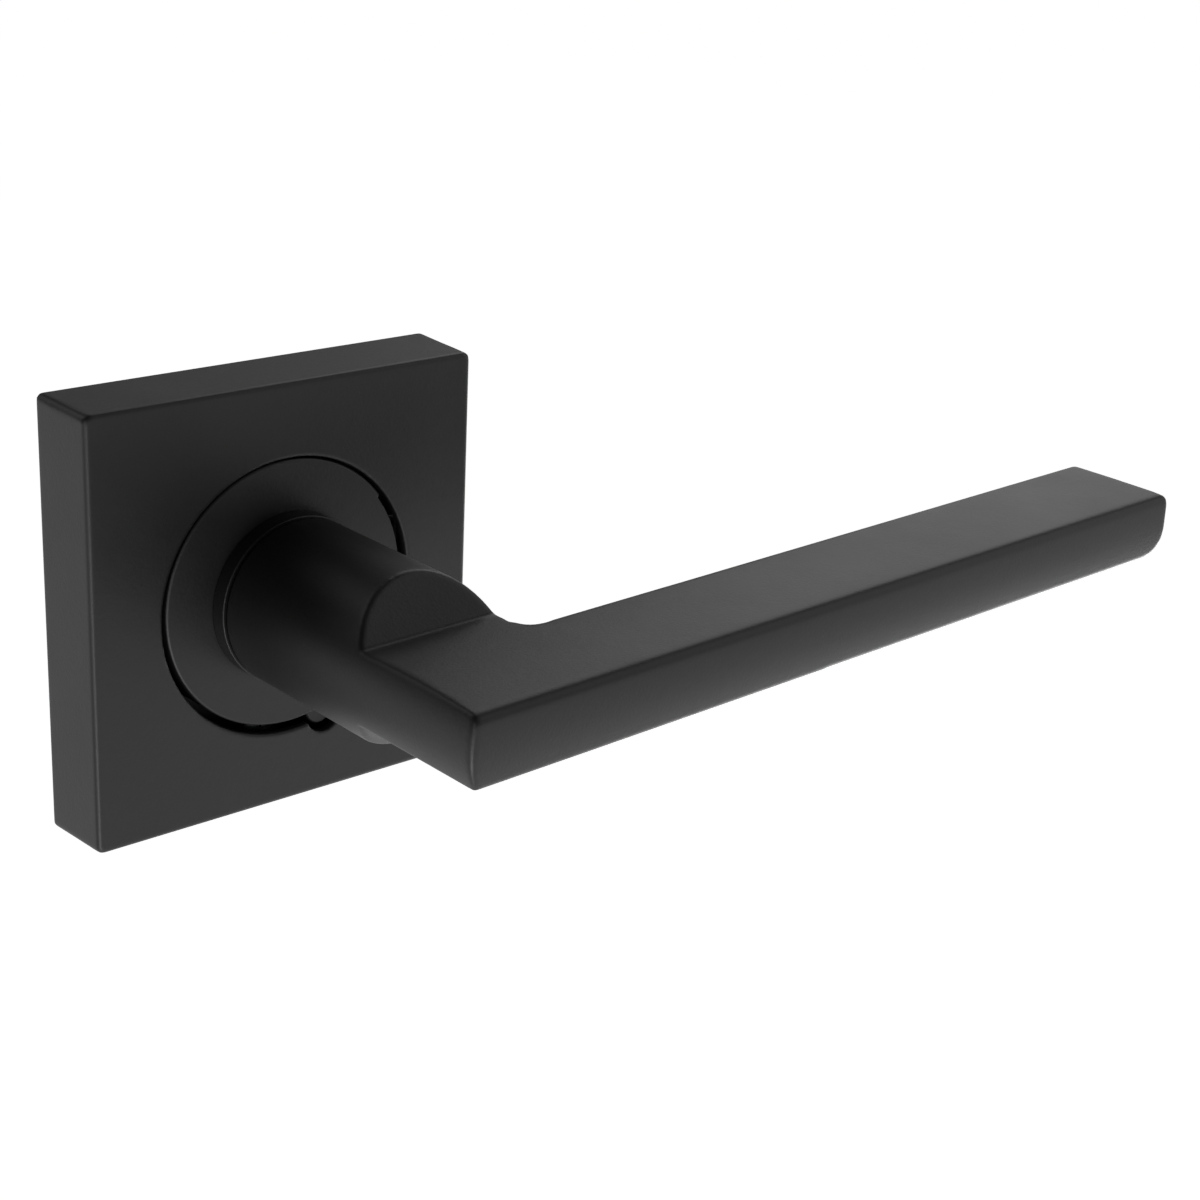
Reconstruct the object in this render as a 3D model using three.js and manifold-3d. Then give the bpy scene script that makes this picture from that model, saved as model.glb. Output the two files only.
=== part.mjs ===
// Door lever handle on a square rose, built as the separate pieces it is assembled from.
// Millimetres. +X runs along the lever, +Y goes into the door, +Z is up.
// The door's face is the plane y = 0 and the spindle's axis is the Y axis.

import * as THREE from "three";
import { mergeVertices } from "three/addons/utils/BufferGeometryUtils.js";
import Module from "manifold-3d";

const wasm = await Module();
wasm.setup();

// ---------------------------------------------------------------- driving dimensions

const degrees = THREE.MathUtils.degToRad;

// Square cover of the rose: a drawn steel shell, a little wider where it meets the door.
const COVER_FRONT = 52;
const COVER_BACK = 52.6;
const COVER_DEPTH = 10;
const COVER_WALL = 1.2;
const COVER_CORNER = 0.8;
const COVER_EDGE = 1.1;
const COVER_SAG = 0.2; // the loose cover hangs this much below the spindle's axis
const COVER_HOLE_RADIUS = 17.1;
const RING_ROUND = 72; // segments of the hole in the cover and of the boss inside it
const KEY_ANGLE = degrees(-73); // key on the boss, in the cover's notch
const INDEX_STEP = [degrees(2), degrees(37)]; // shallow step in the boss's rim

// Lever: a round neck that is flattened at the front and turns into a flat bar.
const NECK_RADIUS = 10.1;
const NECK_BASE = -11.95;
const NECK_CHAMFER = 0.35;
const LEVER_PROJECTION = 57.3;
const LEVER_LENGTH = 105.8; // from the spindle's axis to the tip
const BAR_DEPTH = 15.3;
const BAR_THICKNESS = 9;
const BAR_EDGE = 0.8;
const TIP_EDGE = 0.7;
const FACET_START = -33; // the slanted facets leave the neck's crest here
const FACET_END = -36.9; // and meet the flats of the bar here
const INNER_CORNER = 9.7;
const INNER_FILLET = 2;
const REST_TILT = 1.4; // degrees that the stop holds the lever above level
const LEVER_SWING = 50; // degrees from the rest stop to the lower stop

// Spigot that turns in the bush, and the square socket in it.
const SPIGOT_RADIUS = 7.9;
const SPIGOT_END = -1;
const FLAT_HALF = 6.9; // half the distance across the two driving flats
const SPINDLE_SIDE = 8;
const SPINDLE_INNER_END = -31.5;
const SPINDLE_OUTER_END = 40;
const SOCKET_SIDE = 8.3;
const SOCKET_END = -32;
const GRUB_Y = -20;
const GRUB_RADIUS = 2.45;

// Mounting plate: base, and the round boss that holds the bush and the spring.
const PLATE_SIDE = 48.6;
const PLATE_THICKNESS = 3;
const BOSS_RADIUS = 16.35;
const BOSS_FACE = -9.7;
const BOSS_WALL_BACK = -8.1;
const POCKET_RADIUS = 14.4;
const HUB_RADIUS = 11.1;
const HUB_END = -4.9;
const BUSH_OUTER = 9.3;
const BUSH_INNER = 8;
const WOOD_SCREW_OFFSET = 16.5; // each screw's distance from the axis, along X and along Z
const RIVET_OFFSET = 19.6;

// Spring cassette, from the front wall back to the door.
const SPRING_RADIUS = 12.3;
const SPRING_WIRE = 1.1;
const SPRING_FRONT = -7.45;
const SPRING_PITCH = 1.2;
const SPRING_TURNS = 2;
const DRIVER_FRONT = -4.4;
const DRIVER_BACK = -3.1;
const DRIVER_RADIUS = 13.9;
const PIN_RADIUS = 1.1;
const PIN_OFFSET = 11.6;
const WASHER_FRONT = -3;
const CIRCLIP_FRONT = -2.5;
const CIRCLIP_BACK = -1.6;
const BACK_PLATE_THICKNESS = 0.8;

const ROUND = 48; // segments of the large round parts
const SMALL_ROUND = 16; // segments of pins, screws and small holes
const GAP = 0.1; // clearance between fitted pieces
const PAST = 2; // how far a cutter runs past the face it cuts

// ---------------------------------------------------------------- finishes

const finish = (color, roughness, metalness) => () =>
  new THREE.MeshStandardMaterial({ color, roughness, metalness });

const blackCoat = finish(0x3b3b3b, 0.55, 0.1);
const blackCasting = finish(0x353535, 0.6, 0.1);
const blackNylon = finish(0x1c1c1c, 0.6, 0);
const zincedSteel = finish(0xb9bcc0, 0.35, 0.9);
const springSteel = finish(0x6d7074, 0.4, 0.9);
const darkSteel = finish(0x2f3033, 0.45, 0.8);

// ---------------------------------------------------------------- helpers

// A closed geometry as a solid that can be joined and cut.
function solid(geometry) {
  const plain = geometry.clone();
  plain.deleteAttribute("normal");
  plain.deleteAttribute("uv");
  const merged = mergeVertices(plain, 1e-4);
  const mesh = new wasm.Mesh({
    numProp: 3,
    vertProperties: new Float32Array(merged.attributes.position.array),
    triVerts: new Uint32Array(merged.index.array),
  });
  return new wasm.Manifold(mesh);
}

function geometryOf(manifold) {
  const mesh = manifold.getMesh();
  const geometry = new THREE.BufferGeometry();
  geometry.setAttribute("position", new THREE.BufferAttribute(mesh.vertProperties, 3));
  geometry.setIndex(new THREE.BufferAttribute(mesh.triVerts, 1));
  geometry.computeVertexNormals();
  return geometry;
}

const cut = (body, ...tools) => tools.reduce((rest, tool) => rest.subtract(tool), body);
const join = (body, ...others) => others.reduce((whole, other) => whole.add(other), body);

// Turned about the Y axis; the profile is [radius, y] points.
function turned(profile, segments = ROUND) {
  const points = profile.map(([radius, y]) => new THREE.Vector2(radius, y));
  return new THREE.LatheGeometry(points, segments);
}

function cylinder(radius, back, front, segments = ROUND) {
  return turned([[0, front], [radius, front], [radius, back], [0, back]], segments);
}

function tube(inner, outer, back, front, segments = ROUND) {
  const profile = [[inner, front], [outer, front], [outer, back], [inner, back], [inner, front]];
  return turned(profile, segments);
}

// An outline drawn in X and Z, with its thickness from back to front along Y.
function plateOf(shape, back, front, options = {}) {
  const geometry = new THREE.ExtrudeGeometry(shape, {
    depth: back - front,
    bevelEnabled: false,
    curveSegments: 6,
    ...options,
  });
  const basis = new THREE.Matrix4().makeBasis(
    new THREE.Vector3(1, 0, 0),
    new THREE.Vector3(0, 0, 1),
    new THREE.Vector3(0, -1, 0),
  );
  return geometry.applyMatrix4(basis).translate(0, back, 0);
}

// An outline drawn in Y and Z, run along X.
function runAlongX(shape, start, length, options = {}) {
  const geometry = new THREE.ExtrudeGeometry(shape, {
    depth: length,
    bevelEnabled: false,
    curveSegments: 3,
    ...options,
  });
  const basis = new THREE.Matrix4().makeBasis(
    new THREE.Vector3(0, 1, 0),
    new THREE.Vector3(0, 0, 1),
    new THREE.Vector3(1, 0, 0),
  );
  return geometry.applyMatrix4(basis).translate(start, 0, 0);
}

// An outline drawn in X and Y, run along Z and centred on z = 0.
function runAlongZ(shape, height) {
  const options = { depth: height, bevelEnabled: false, curveSegments: 4 };
  return new THREE.ExtrudeGeometry(shape, options).translate(0, 0, -height / 2);
}

function block(minimum, maximum) {
  const low = new THREE.Vector3(...minimum);
  const size = new THREE.Vector3(...maximum).sub(low);
  const centre = low.clone().addScaledVector(size, 0.5);
  return new THREE.BoxGeometry(size.x, size.y, size.z).translate(centre.x, centre.y, centre.z);
}

function roundedRectangle(width, height, radius, centreX = 0, centreY = 0) {
  const right = centreX + width / 2;
  const top = centreY + height / 2;
  const left = right - width;
  const bottom = top - height;
  const shape = new THREE.Shape();
  shape.absarc(right - radius, bottom + radius, radius, -Math.PI / 2, 0);
  shape.absarc(right - radius, top - radius, radius, 0, Math.PI / 2);
  shape.absarc(left + radius, top - radius, radius, Math.PI / 2, Math.PI);
  shape.absarc(left + radius, bottom + radius, radius, Math.PI, 1.5 * Math.PI);
  return shape;
}

// A skin through square outlines with rounded corners, each {half, radius, y}, closed at both ends.
function squareLoft(levels) {
  const perCorner = 4;
  const positions = [];
  const indices = [];
  const count = 4 * (perCorner + 1);
  for (const { half, radius, y } of levels) {
    for (let corner = 0; corner < 4; corner++) {
      const start = (corner * Math.PI) / 2;
      const centre = new THREE.Vector2(half - radius, half - radius);
      centre.rotateAround(new THREE.Vector2(), start);
      for (let step = 0; step <= perCorner; step++) {
        const angle = start + (step / perCorner) * (Math.PI / 2);
        positions.push(centre.x + radius * Math.cos(angle), y, centre.y + radius * Math.sin(angle));
      }
    }
  }
  const ring = (level, i) => level * count + (i % count);
  for (let level = 0; level + 1 < levels.length; level++) {
    for (let i = 0; i < count; i++) {
      const [a, b] = [ring(level, i), ring(level, i + 1)];
      const [c, d] = [ring(level + 1, i + 1), ring(level + 1, i)];
      indices.push(a, b, c, a, c, d);
    }
  }
  const ends = [[0, true], [levels.length - 1, false]];
  for (const [level, first] of ends) {
    const middle = positions.length / 3;
    positions.push(0, levels[level].y, 0);
    for (let i = 0; i < count; i++) {
      const [a, b] = [ring(level, i), ring(level, i + 1)];
      indices.push(...(first ? [middle, b, a] : [middle, a, b]));
    }
  }
  const geometry = new THREE.BufferGeometry();
  geometry.setAttribute("position", new THREE.Float32BufferAttribute(positions, 3));
  geometry.setIndex(indices);
  return geometry;
}

function mesh(name, geometry, material) {
  const made = new THREE.Mesh(geometry, material());
  made.name = name;
  return made;
}

// Where an angle from +X towards +Z lies on a circle about the spindle's axis.
const aroundAxis = (radius, angle) => [radius * Math.cos(angle), radius * Math.sin(angle)];

// ---------------------------------------------------------------- rose cover

// Half the cover's width at a depth y, along its straight, slightly drafted wall.
function coverHalf(y) {
  return (COVER_BACK + (COVER_FRONT - COVER_BACK) * (y / -COVER_DEPTH)) / 2;
}

function coverOutside() {
  const levels = [{ half: coverHalf(0), radius: COVER_CORNER, y: 0 }];
  const steps = 3;
  for (let step = 0; step <= steps; step++) {
    const angle = (step / steps) * (Math.PI / 2);
    const y = -COVER_DEPTH + COVER_EDGE * (1 - Math.sin(angle));
    const inset = COVER_EDGE * (1 - Math.cos(angle));
    const radius = Math.max(COVER_CORNER - inset / 2, COVER_CORNER / 2);
    levels.push({ half: coverHalf(y) - inset, radius, y });
  }
  return squareLoft(levels);
}

function coverInside() {
  const radius = 0.5;
  const inner = (y) => ({ half: coverHalf(y) - COVER_WALL, radius, y });
  return squareLoft([inner(PAST), inner(-COVER_DEPTH + COVER_WALL)]);
}

function roseCover() {
  const through = [PAST, -COVER_DEPTH - PAST];
  const hole = cylinder(COVER_HOLE_RADIUS, ...through, RING_ROUND);
  const keyNotch = cylinder(2.3, ...through, SMALL_ROUND);
  const [keyX, keyZ] = aroundAxis(COVER_HOLE_RADIUS - 0.2, KEY_ANGLE);
  const shell = cut(
    solid(coverOutside()),
    solid(coverInside()),
    solid(hole),
    solid(keyNotch.translate(keyX, 0, keyZ)),
  );
  const cover = mesh("rose_cover", geometryOf(shell), blackCoat);
  cover.position.z = -COVER_SAG;
  return cover;
}

// ---------------------------------------------------------------- mounting plate

// Back plate's outline: a disc with an ear at the top and one at the bottom for the rivets.
function backPlateOutline(grow) {
  const radius = 17 + grow;
  const earHalf = 3.4 + grow;
  const earTop = RIVET_OFFSET + 2.8 + grow;
  const earCorner = 1.5;
  const meet = Math.asin(earHalf / radius);
  const shape = new THREE.Shape();
  shape.absarc(0, 0, radius, -Math.PI / 2 + meet, Math.PI / 2 - meet);
  shape.lineTo(earHalf, earTop - earCorner);
  shape.absarc(earHalf - earCorner, earTop - earCorner, earCorner, 0, Math.PI / 2);
  shape.absarc(earCorner - earHalf, earTop - earCorner, earCorner, Math.PI / 2, Math.PI);
  shape.absarc(0, 0, radius, Math.PI / 2 + meet, 1.5 * Math.PI - meet);
  shape.lineTo(-earHalf, earCorner - earTop);
  shape.absarc(earCorner - earHalf, earCorner - earTop, earCorner, Math.PI, 1.5 * Math.PI);
  shape.absarc(earHalf - earCorner, earCorner - earTop, earCorner, -Math.PI / 2, 0);
  return shape;
}

function countersunkHole() {
  const profile = [[0, PAST], [1.95, PAST], [1.95, -1.3], [3.6, -2.95], [3.6, -PLATE_THICKNESS - 1],
    [0, -PLATE_THICKNESS - 1]];
  return turned(profile.reverse(), SMALL_ROUND);
}

const SCREW_CORNERS = [["upper_left", -1, 1], ["upper_right", 1, 1], ["lower_left", -1, -1],
  ["lower_right", 1, -1]];

function indexStep() {
  const ends = [-PLATE_THICKNESS - 0.5, BOSS_FACE - PAST];
  const wedge = new THREE.Shape();
  wedge.moveTo(0, 0);
  for (const angle of INDEX_STEP) {
    wedge.lineTo(...aroundAxis(2 * BOSS_RADIUS, angle));
  }
  const ring = solid(tube(BOSS_RADIUS - 0.5, BOSS_RADIUS + 1, ...ends));
  return ring.intersect(solid(plateOf(wedge, ...ends)));
}

function mountingPlate() {
  const base = solid(plateOf(roundedRectangle(PLATE_SIDE, PLATE_SIDE, 3), 0, -PLATE_THICKNESS));
  const rim = 0.4;
  const boss = solid(turned([[0, BOSS_FACE], [BOSS_RADIUS - rim, BOSS_FACE],
    [BOSS_RADIUS - rim * 0.3, BOSS_FACE + rim * 0.3], [BOSS_RADIUS, BOSS_FACE + rim],
    [BOSS_RADIUS, -PLATE_THICKNESS / 2], [0, -PLATE_THICKNESS / 2]], RING_ROUND));
  const [keyX, keyZ] = aroundAxis(BOSS_RADIUS + 0.4, KEY_ANGLE);
  const key = cylinder(1.8, -PLATE_THICKNESS / 2, BOSS_FACE + 0.7, SMALL_ROUND);
  const pocket = solid(cylinder(POCKET_RADIUS, PAST, BOSS_WALL_BACK));
  const hub = solid(cylinder(HUB_RADIUS, HUB_END, BOSS_WALL_BACK - 0.5));
  const bore = solid(cylinder(BUSH_OUTER + GAP, PAST, BOSS_FACE - PAST));
  const recess = solid(plateOf(backPlateOutline(GAP), PAST, -BACK_PLATE_THICKNESS - GAP / 2));
  const cutters = [bore, recess, indexStep()];

  for (const [, side, up] of SCREW_CORNERS) {
    cutters.push(solid(countersunkHole().translate(side * WOOD_SCREW_OFFSET, 0, up * WOOD_SCREW_OFFSET)));
  }
  for (const side of [-1, 1]) {
    const rivetHole = cylinder(1.35, PAST, -PLATE_THICKNESS - PAST, SMALL_ROUND);
    cutters.push(solid(rivetHole.translate(0, 0, side * RIVET_OFFSET)));
    const half = PLATE_SIDE / 2;
    const edges = [side * (half - 1.1), side * (half + PAST)].sort((a, b) => a - b);
    cutters.push(solid(block([edges[0], -PLATE_THICKNESS - PAST, -5.2], [edges[1], PAST, 5.2])));
    const slots = [side * 19.2, side * 20.4].sort((a, b) => a - b);
    cutters.push(solid(block([slots[0], -PLATE_THICKNESS - PAST, -4.4], [slots[1], PAST, 4.4])));
  }
  const springHole = cylinder(1.1, BOSS_WALL_BACK + PAST, BOSS_WALL_BACK - 0.9, SMALL_ROUND);
  cutters.push(solid(springHole.translate(-SPRING_RADIUS, 0, 0)));

  const casting = join(cut(join(base, boss, solid(key.translate(keyX, 0, keyZ))), pocket), hub);
  return mesh("mounting_plate", geometryOf(cut(casting, ...cutters)), blackCasting);
}

// ---------------------------------------------------------------- pieces fixed to the plate

function frontBush() {
  const flangeFront = NECK_BASE + GAP;
  const flangeRadius = 10.3;
  const profile = [[BUSH_INNER, flangeFront], [flangeRadius, flangeFront],
    [flangeRadius, BOSS_FACE - GAP / 2], [BUSH_OUTER, BOSS_FACE - GAP / 2],
    [BUSH_OUTER, HUB_END + 0.2], [BUSH_INNER, HUB_END + 0.2], [BUSH_INNER, flangeFront]];
  return mesh("front_bush", turned(profile), blackNylon);
}

function backPlate() {
  const sheet = solid(plateOf(backPlateOutline(0), 0, -BACK_PLATE_THICKNESS));
  const holes = [solid(cylinder(6.4, PAST, -PAST))];
  for (const side of [-1, 1]) {
    const rivetHole = cylinder(1.35, PAST, -PAST, SMALL_ROUND);
    holes.push(solid(rivetHole.translate(0, 0, side * RIVET_OFFSET)));
    const pinHole = cylinder(PIN_RADIUS + 0.05, PAST, -PAST, SMALL_ROUND);
    holes.push(solid(pinHole.translate(0, 0, side * PIN_OFFSET)));
  }
  return mesh("back_plate", geometryOf(cut(sheet, ...holes)), zincedSteel);
}

function rivet(name, side) {
  const head = -PLATE_THICKNESS - 0.05;
  const profile = [[0, head - 1], [1, head - 0.9], [1.8, head - 0.55], [2.3, head],
    [1.25, head], [1.25, -0.3], [1.3, -0.05], [0, -0.05]];
  const made = mesh(name, turned(profile, SMALL_ROUND), zincedSteel);
  made.position.z = side * RIVET_OFFSET;
  return made;
}

function stopPin(name, side) {
  const shoulder = -BACK_PLATE_THICKNESS - 0.05;
  const profile = [[0, DRIVER_FRONT + 0.05], [PIN_RADIUS - 0.2, DRIVER_FRONT + 0.05],
    [PIN_RADIUS, DRIVER_FRONT + 0.25], [PIN_RADIUS, shoulder - 0.7], [1.6, shoulder - 0.7],
    [1.6, shoulder], [PIN_RADIUS, shoulder], [PIN_RADIUS, -0.05], [0, -0.05]];
  const made = mesh(name, turned(profile, SMALL_ROUND), darkSteel);
  made.position.z = side * PIN_OFFSET;
  return made;
}

// Spring-steel strip hooked through the plate, whose bowed leg presses on the cover's wall.
function coverClip(name, side) {
  const thickness = 0.4;
  const width = 8;
  const centreLine = [[19.8, -0.9], [19.8, -3.1], [20.05, -3.4], [20.4, -3.45], [23, -3.45],
    [23.5, -3.4], [23.75, -3.1], [24.55, -2.1], [24.55, -1.7], [24, -0.7]];
  const points = centreLine.map(([x, y]) => new THREE.Vector2(x, y));
  const [outer, inner] = [[], []];
  points.forEach((point, i) => {
    const before = points[Math.max(i - 1, 0)];
    const after = points[Math.min(i + 1, points.length - 1)];
    const along = after.clone().sub(before).normalize();
    const across = new THREE.Vector2(-along.y, along.x).multiplyScalar(thickness / 2);
    outer.push(point.clone().add(across));
    inner.push(point.clone().sub(across));
  });
  const strip = new THREE.Shape([...outer, ...inner.reverse()]);
  const made = mesh(name, runAlongZ(strip, width), springSteel);
  made.rotation.y = side < 0 ? Math.PI : 0;
  return made;
}

function woodScrew(name, side, up) {
  const head = -PLATE_THICKNESS;
  const length = 16;
  const headRadius = 3.4;
  const rootRadius = 1.2;
  const crestRadius = 1.75;
  const threadStart = 1.2;
  const pitch = 2;
  const tip = head + length;
  const profile = [[0, head], [headRadius, head], [headRadius, head + 0.15], [1.7, head + 1.85],
    [1.7, threadStart - 0.4], [rootRadius, threadStart]];
  for (let y = threadStart; y + pitch < tip - 1; y += pitch) {
    const taper = Math.min(1, (tip - y - pitch / 2) / 5);
    profile.push([Math.max(crestRadius * taper, 0.5), y + pitch / 2]);
    profile.push([Math.max(rootRadius * Math.min(1, (tip - y - pitch) / 5), 0.3), y + pitch]);
  }
  profile.push([0, tip]);
  const blade = 0.9;
  const reach = 1.9;
  const depth = head + 1.5;
  const crossSlots = [
    block([-reach, head - 1, -blade / 2], [reach, depth, blade / 2]),
    block([-blade / 2, head - 1, -reach], [blade / 2, depth, reach]),
  ];
  const body = cut(solid(turned(profile, SMALL_ROUND)), ...crossSlots.map(solid));
  const made = mesh(name, geometryOf(body), zincedSteel);
  made.position.set(side * WOOD_SCREW_OFFSET, 0, up * WOOD_SCREW_OFFSET);
  return made;
}

// Torsion spring: two turns, with a tail at each end bent parallel to the axis.
function returnSpring() {
  const perTurn = 28;
  const bend = 0.9;
  const start = Math.PI;
  const at = (angle, y) => {
    const [x, z] = aroundAxis(SPRING_RADIUS, angle);
    return new THREE.Vector3(x, y, z);
  };
  const rear = SPRING_FRONT + SPRING_PITCH * SPRING_TURNS;
  const lead = bend / SPRING_RADIUS;
  const points = [at(start, SPRING_FRONT - 1.4), at(start, SPRING_FRONT - bend),
    at(start + lead * 0.3, SPRING_FRONT - bend * 0.3)];
  for (let i = 0; i <= SPRING_TURNS * perTurn; i++) {
    const share = i / (SPRING_TURNS * perTurn);
    const angle = start + lead + share * (SPRING_TURNS * 2 * Math.PI - 2 * lead);
    points.push(at(angle, SPRING_FRONT + share * (rear - SPRING_FRONT)));
  }
  points.push(at(start - lead * 0.3, rear + bend * 0.3), at(start, rear + bend), at(start, -3.2));
  const path = new THREE.CatmullRomCurve3(points, false, "centripetal");
  const corners = Array.from({ length: 6 }, (_, i) => {
    const angle = ((i + 0.5) / 6) * 2 * Math.PI;
    return new THREE.Vector2(Math.cos(angle), Math.sin(angle)).multiplyScalar(SPRING_WIRE / 2);
  });
  const wire = new THREE.ExtrudeGeometry(new THREE.Shape(corners), {
    steps: 72,
    extrudePath: path,
    bevelEnabled: false,
  });
  return mesh("return_spring", wire, springSteel);
}

// ---------------------------------------------------------------- pieces that turn with the lever

// Side view of the lever, in Y and Z: full height at the neck, slanted facets, then the flat bar.
function leverSideView() {
  const flat = BAR_THICKNESS / 2;
  const slope = (NECK_RADIUS - flat) / (FACET_START - FACET_END);
  const above = NECK_RADIUS + 2;
  const facetTop = FACET_END + (above - flat) / slope;
  const shape = new THREE.Shape();
  shape.moveTo(PAST, above);
  shape.lineTo(facetTop, above);
  shape.lineTo(FACET_END, flat);
  shape.absarc(-LEVER_PROJECTION + BAR_EDGE, flat - BAR_EDGE, BAR_EDGE, Math.PI / 2, Math.PI);
  shape.absarc(-LEVER_PROJECTION + BAR_EDGE, BAR_EDGE - flat, BAR_EDGE, Math.PI, 1.5 * Math.PI);
  shape.lineTo(FACET_END, -flat);
  shape.lineTo(facetTop, -above);
  shape.lineTo(PAST, -above);
  return shape;
}

function leverNeck() {
  const profile = [[0, -LEVER_PROJECTION], [NECK_RADIUS, -LEVER_PROJECTION],
    [NECK_RADIUS, NECK_BASE - NECK_CHAMFER], [NECK_RADIUS - NECK_CHAMFER, NECK_BASE],
    [SPIGOT_RADIUS, NECK_BASE], [SPIGOT_RADIUS, SPIGOT_END], [0, SPIGOT_END]];
  const across = 2 * (NECK_RADIUS + PAST);
  return solid(turned(profile)).intersect(solid(runAlongX(leverSideView(), -across / 2, across)));
}

function leverBar() {
  const backFace = -LEVER_PROJECTION + BAR_DEPTH;
  const section = roundedRectangle(BAR_DEPTH, BAR_THICKNESS, BAR_EDGE,
    (backFace - LEVER_PROJECTION) / 2, 0);
  const bar = runAlongX(section, TIP_EDGE, LEVER_LENGTH - 2 * TIP_EDGE, {
    bevelEnabled: true,
    bevelThickness: TIP_EDGE,
    bevelSize: TIP_EDGE,
    bevelOffset: -TIP_EDGE,
    bevelSegments: 3,
  });
  const corner = new THREE.Shape();
  const [centreX, centreY] = [INNER_CORNER + INNER_FILLET, backFace + INNER_FILLET];
  corner.moveTo(INNER_CORNER - 2, backFace - 1.5);
  corner.lineTo(centreX, backFace - 1.5);
  corner.absarc(centreX, centreY, INNER_FILLET, -Math.PI / 2, -Math.PI, true);
  corner.lineTo(INNER_CORNER - 2, centreY);
  return join(solid(bar), solid(runAlongZ(corner, BAR_THICKNESS - 0.8)));
}

function lever() {
  const half = SOCKET_SIDE / 2;
  const socket = block([-half, SOCKET_END, -half], [half, PAST, half]);
  const cutters = [solid(socket)];
  for (const side of [-1, 1]) {
    const reach = [side * FLAT_HALF, side * NECK_RADIUS].sort((a, b) => a - b);
    const low = [-NECK_RADIUS, DRIVER_FRONT - 0.1, reach[0]];
    cutters.push(solid(block(low, [NECK_RADIUS, PAST, reach[1]])));
  }
  const groove = tube(SPIGOT_RADIUS - 0.6, NECK_RADIUS, CIRCLIP_BACK + 0.05, CIRCLIP_FRONT - 0.05);
  cutters.push(solid(groove));
  const grubHole = new THREE.CylinderGeometry(GRUB_RADIUS + GAP, GRUB_RADIUS + GAP, 12, SMALL_ROUND);
  grubHole.rotateX(Math.PI / 2).translate(0, GRUB_Y, -6);
  cutters.push(solid(grubHole));
  return mesh("lever", geometryOf(cut(join(leverNeck(), leverBar()), ...cutters)), blackCoat);
}

function squareSpindle() {
  const edge = 0.5;
  const outline = roundedRectangle(SPINDLE_SIDE, SPINDLE_SIDE, edge);
  const bar = plateOf(outline, SPINDLE_OUTER_END - edge, SPINDLE_INNER_END + edge, {
    curveSegments: 1,
    bevelEnabled: true,
    bevelThickness: edge,
    bevelSize: edge * 0.8,
    bevelOffset: -edge * 0.8,
    bevelSegments: 1,
  });
  return mesh("spindle", bar, zincedSteel);
}

// Hollow hexagonal drive of a set screw, as a cutter along Z.
function hexagonPrism(acrossFlats, low, high) {
  const radius = acrossFlats / Math.sqrt(3);
  const prism = new THREE.CylinderGeometry(radius, radius, high - low, 6);
  return prism.rotateX(Math.PI / 2).translate(0, 0, (low + high) / 2);
}

function grubScrew() {
  const top = -SPINDLE_SIDE / 2 - 0.05;
  const bottom = -9.5;
  const profile = [[0, bottom], [GRUB_RADIUS - 0.3, bottom], [GRUB_RADIUS, bottom + 0.3],
    [GRUB_RADIUS, top - 0.7], [1.4, top], [1, top], [0, top - 0.6]];
  const body = solid(turned(profile, SMALL_ROUND).rotateX(Math.PI / 2));
  const screw = body.subtract(solid(hexagonPrism(2.5, bottom - 1, bottom + 2.4)));
  const made = mesh("grub_screw", geometryOf(screw), darkSteel);
  made.position.y = GRUB_Y;
  return made;
}

// Bore shaped like the spigot's end, a circle with two flats.
function flattedBore(clearance) {
  const radius = SPIGOT_RADIUS + clearance;
  const flat = FLAT_HALF + clearance;
  const corner = Math.asin(flat / radius);
  const shape = new THREE.Shape();
  shape.absarc(0, 0, radius, -corner, corner);
  shape.absarc(0, 0, radius, Math.PI - corner, Math.PI + corner);
  return shape;
}

// Steel disc keyed to the spigot; each curved slot runs round a stop pin.
function springDriver() {
  const disc = solid(cylinder(DRIVER_RADIUS, DRIVER_BACK, DRIVER_FRONT));
  const through = [DRIVER_BACK + PAST, DRIVER_FRONT - PAST];
  const cutters = [solid(plateOf(flattedBore(0.15), ...through))];
  const slotRadius = PIN_RADIUS + 0.2;
  for (const side of [-1, 1]) {
    const start = degrees(90 * side - REST_TILT);
    const end = start + degrees(LEVER_SWING);
    const slot = new THREE.Shape();
    slot.absarc(0, 0, PIN_OFFSET + slotRadius, start, end);
    slot.absarc(...aroundAxis(PIN_OFFSET, end), slotRadius, end, end + Math.PI);
    slot.absarc(0, 0, PIN_OFFSET - slotRadius, end, start, true);
    slot.absarc(...aroundAxis(PIN_OFFSET, start), slotRadius, start - Math.PI, start);
    cutters.push(solid(plateOf(slot, ...through)));
  }
  const tailHole = cylinder(SPRING_WIRE / 2 + 0.25, ...through, SMALL_ROUND);
  const [tailX, tailZ] = aroundAxis(SPRING_RADIUS, Math.PI - degrees(REST_TILT));
  cutters.push(solid(tailHole.translate(tailX, 0, tailZ)));
  return mesh("spring_driver", geometryOf(cut(disc, ...cutters)), zincedSteel);
}

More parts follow.
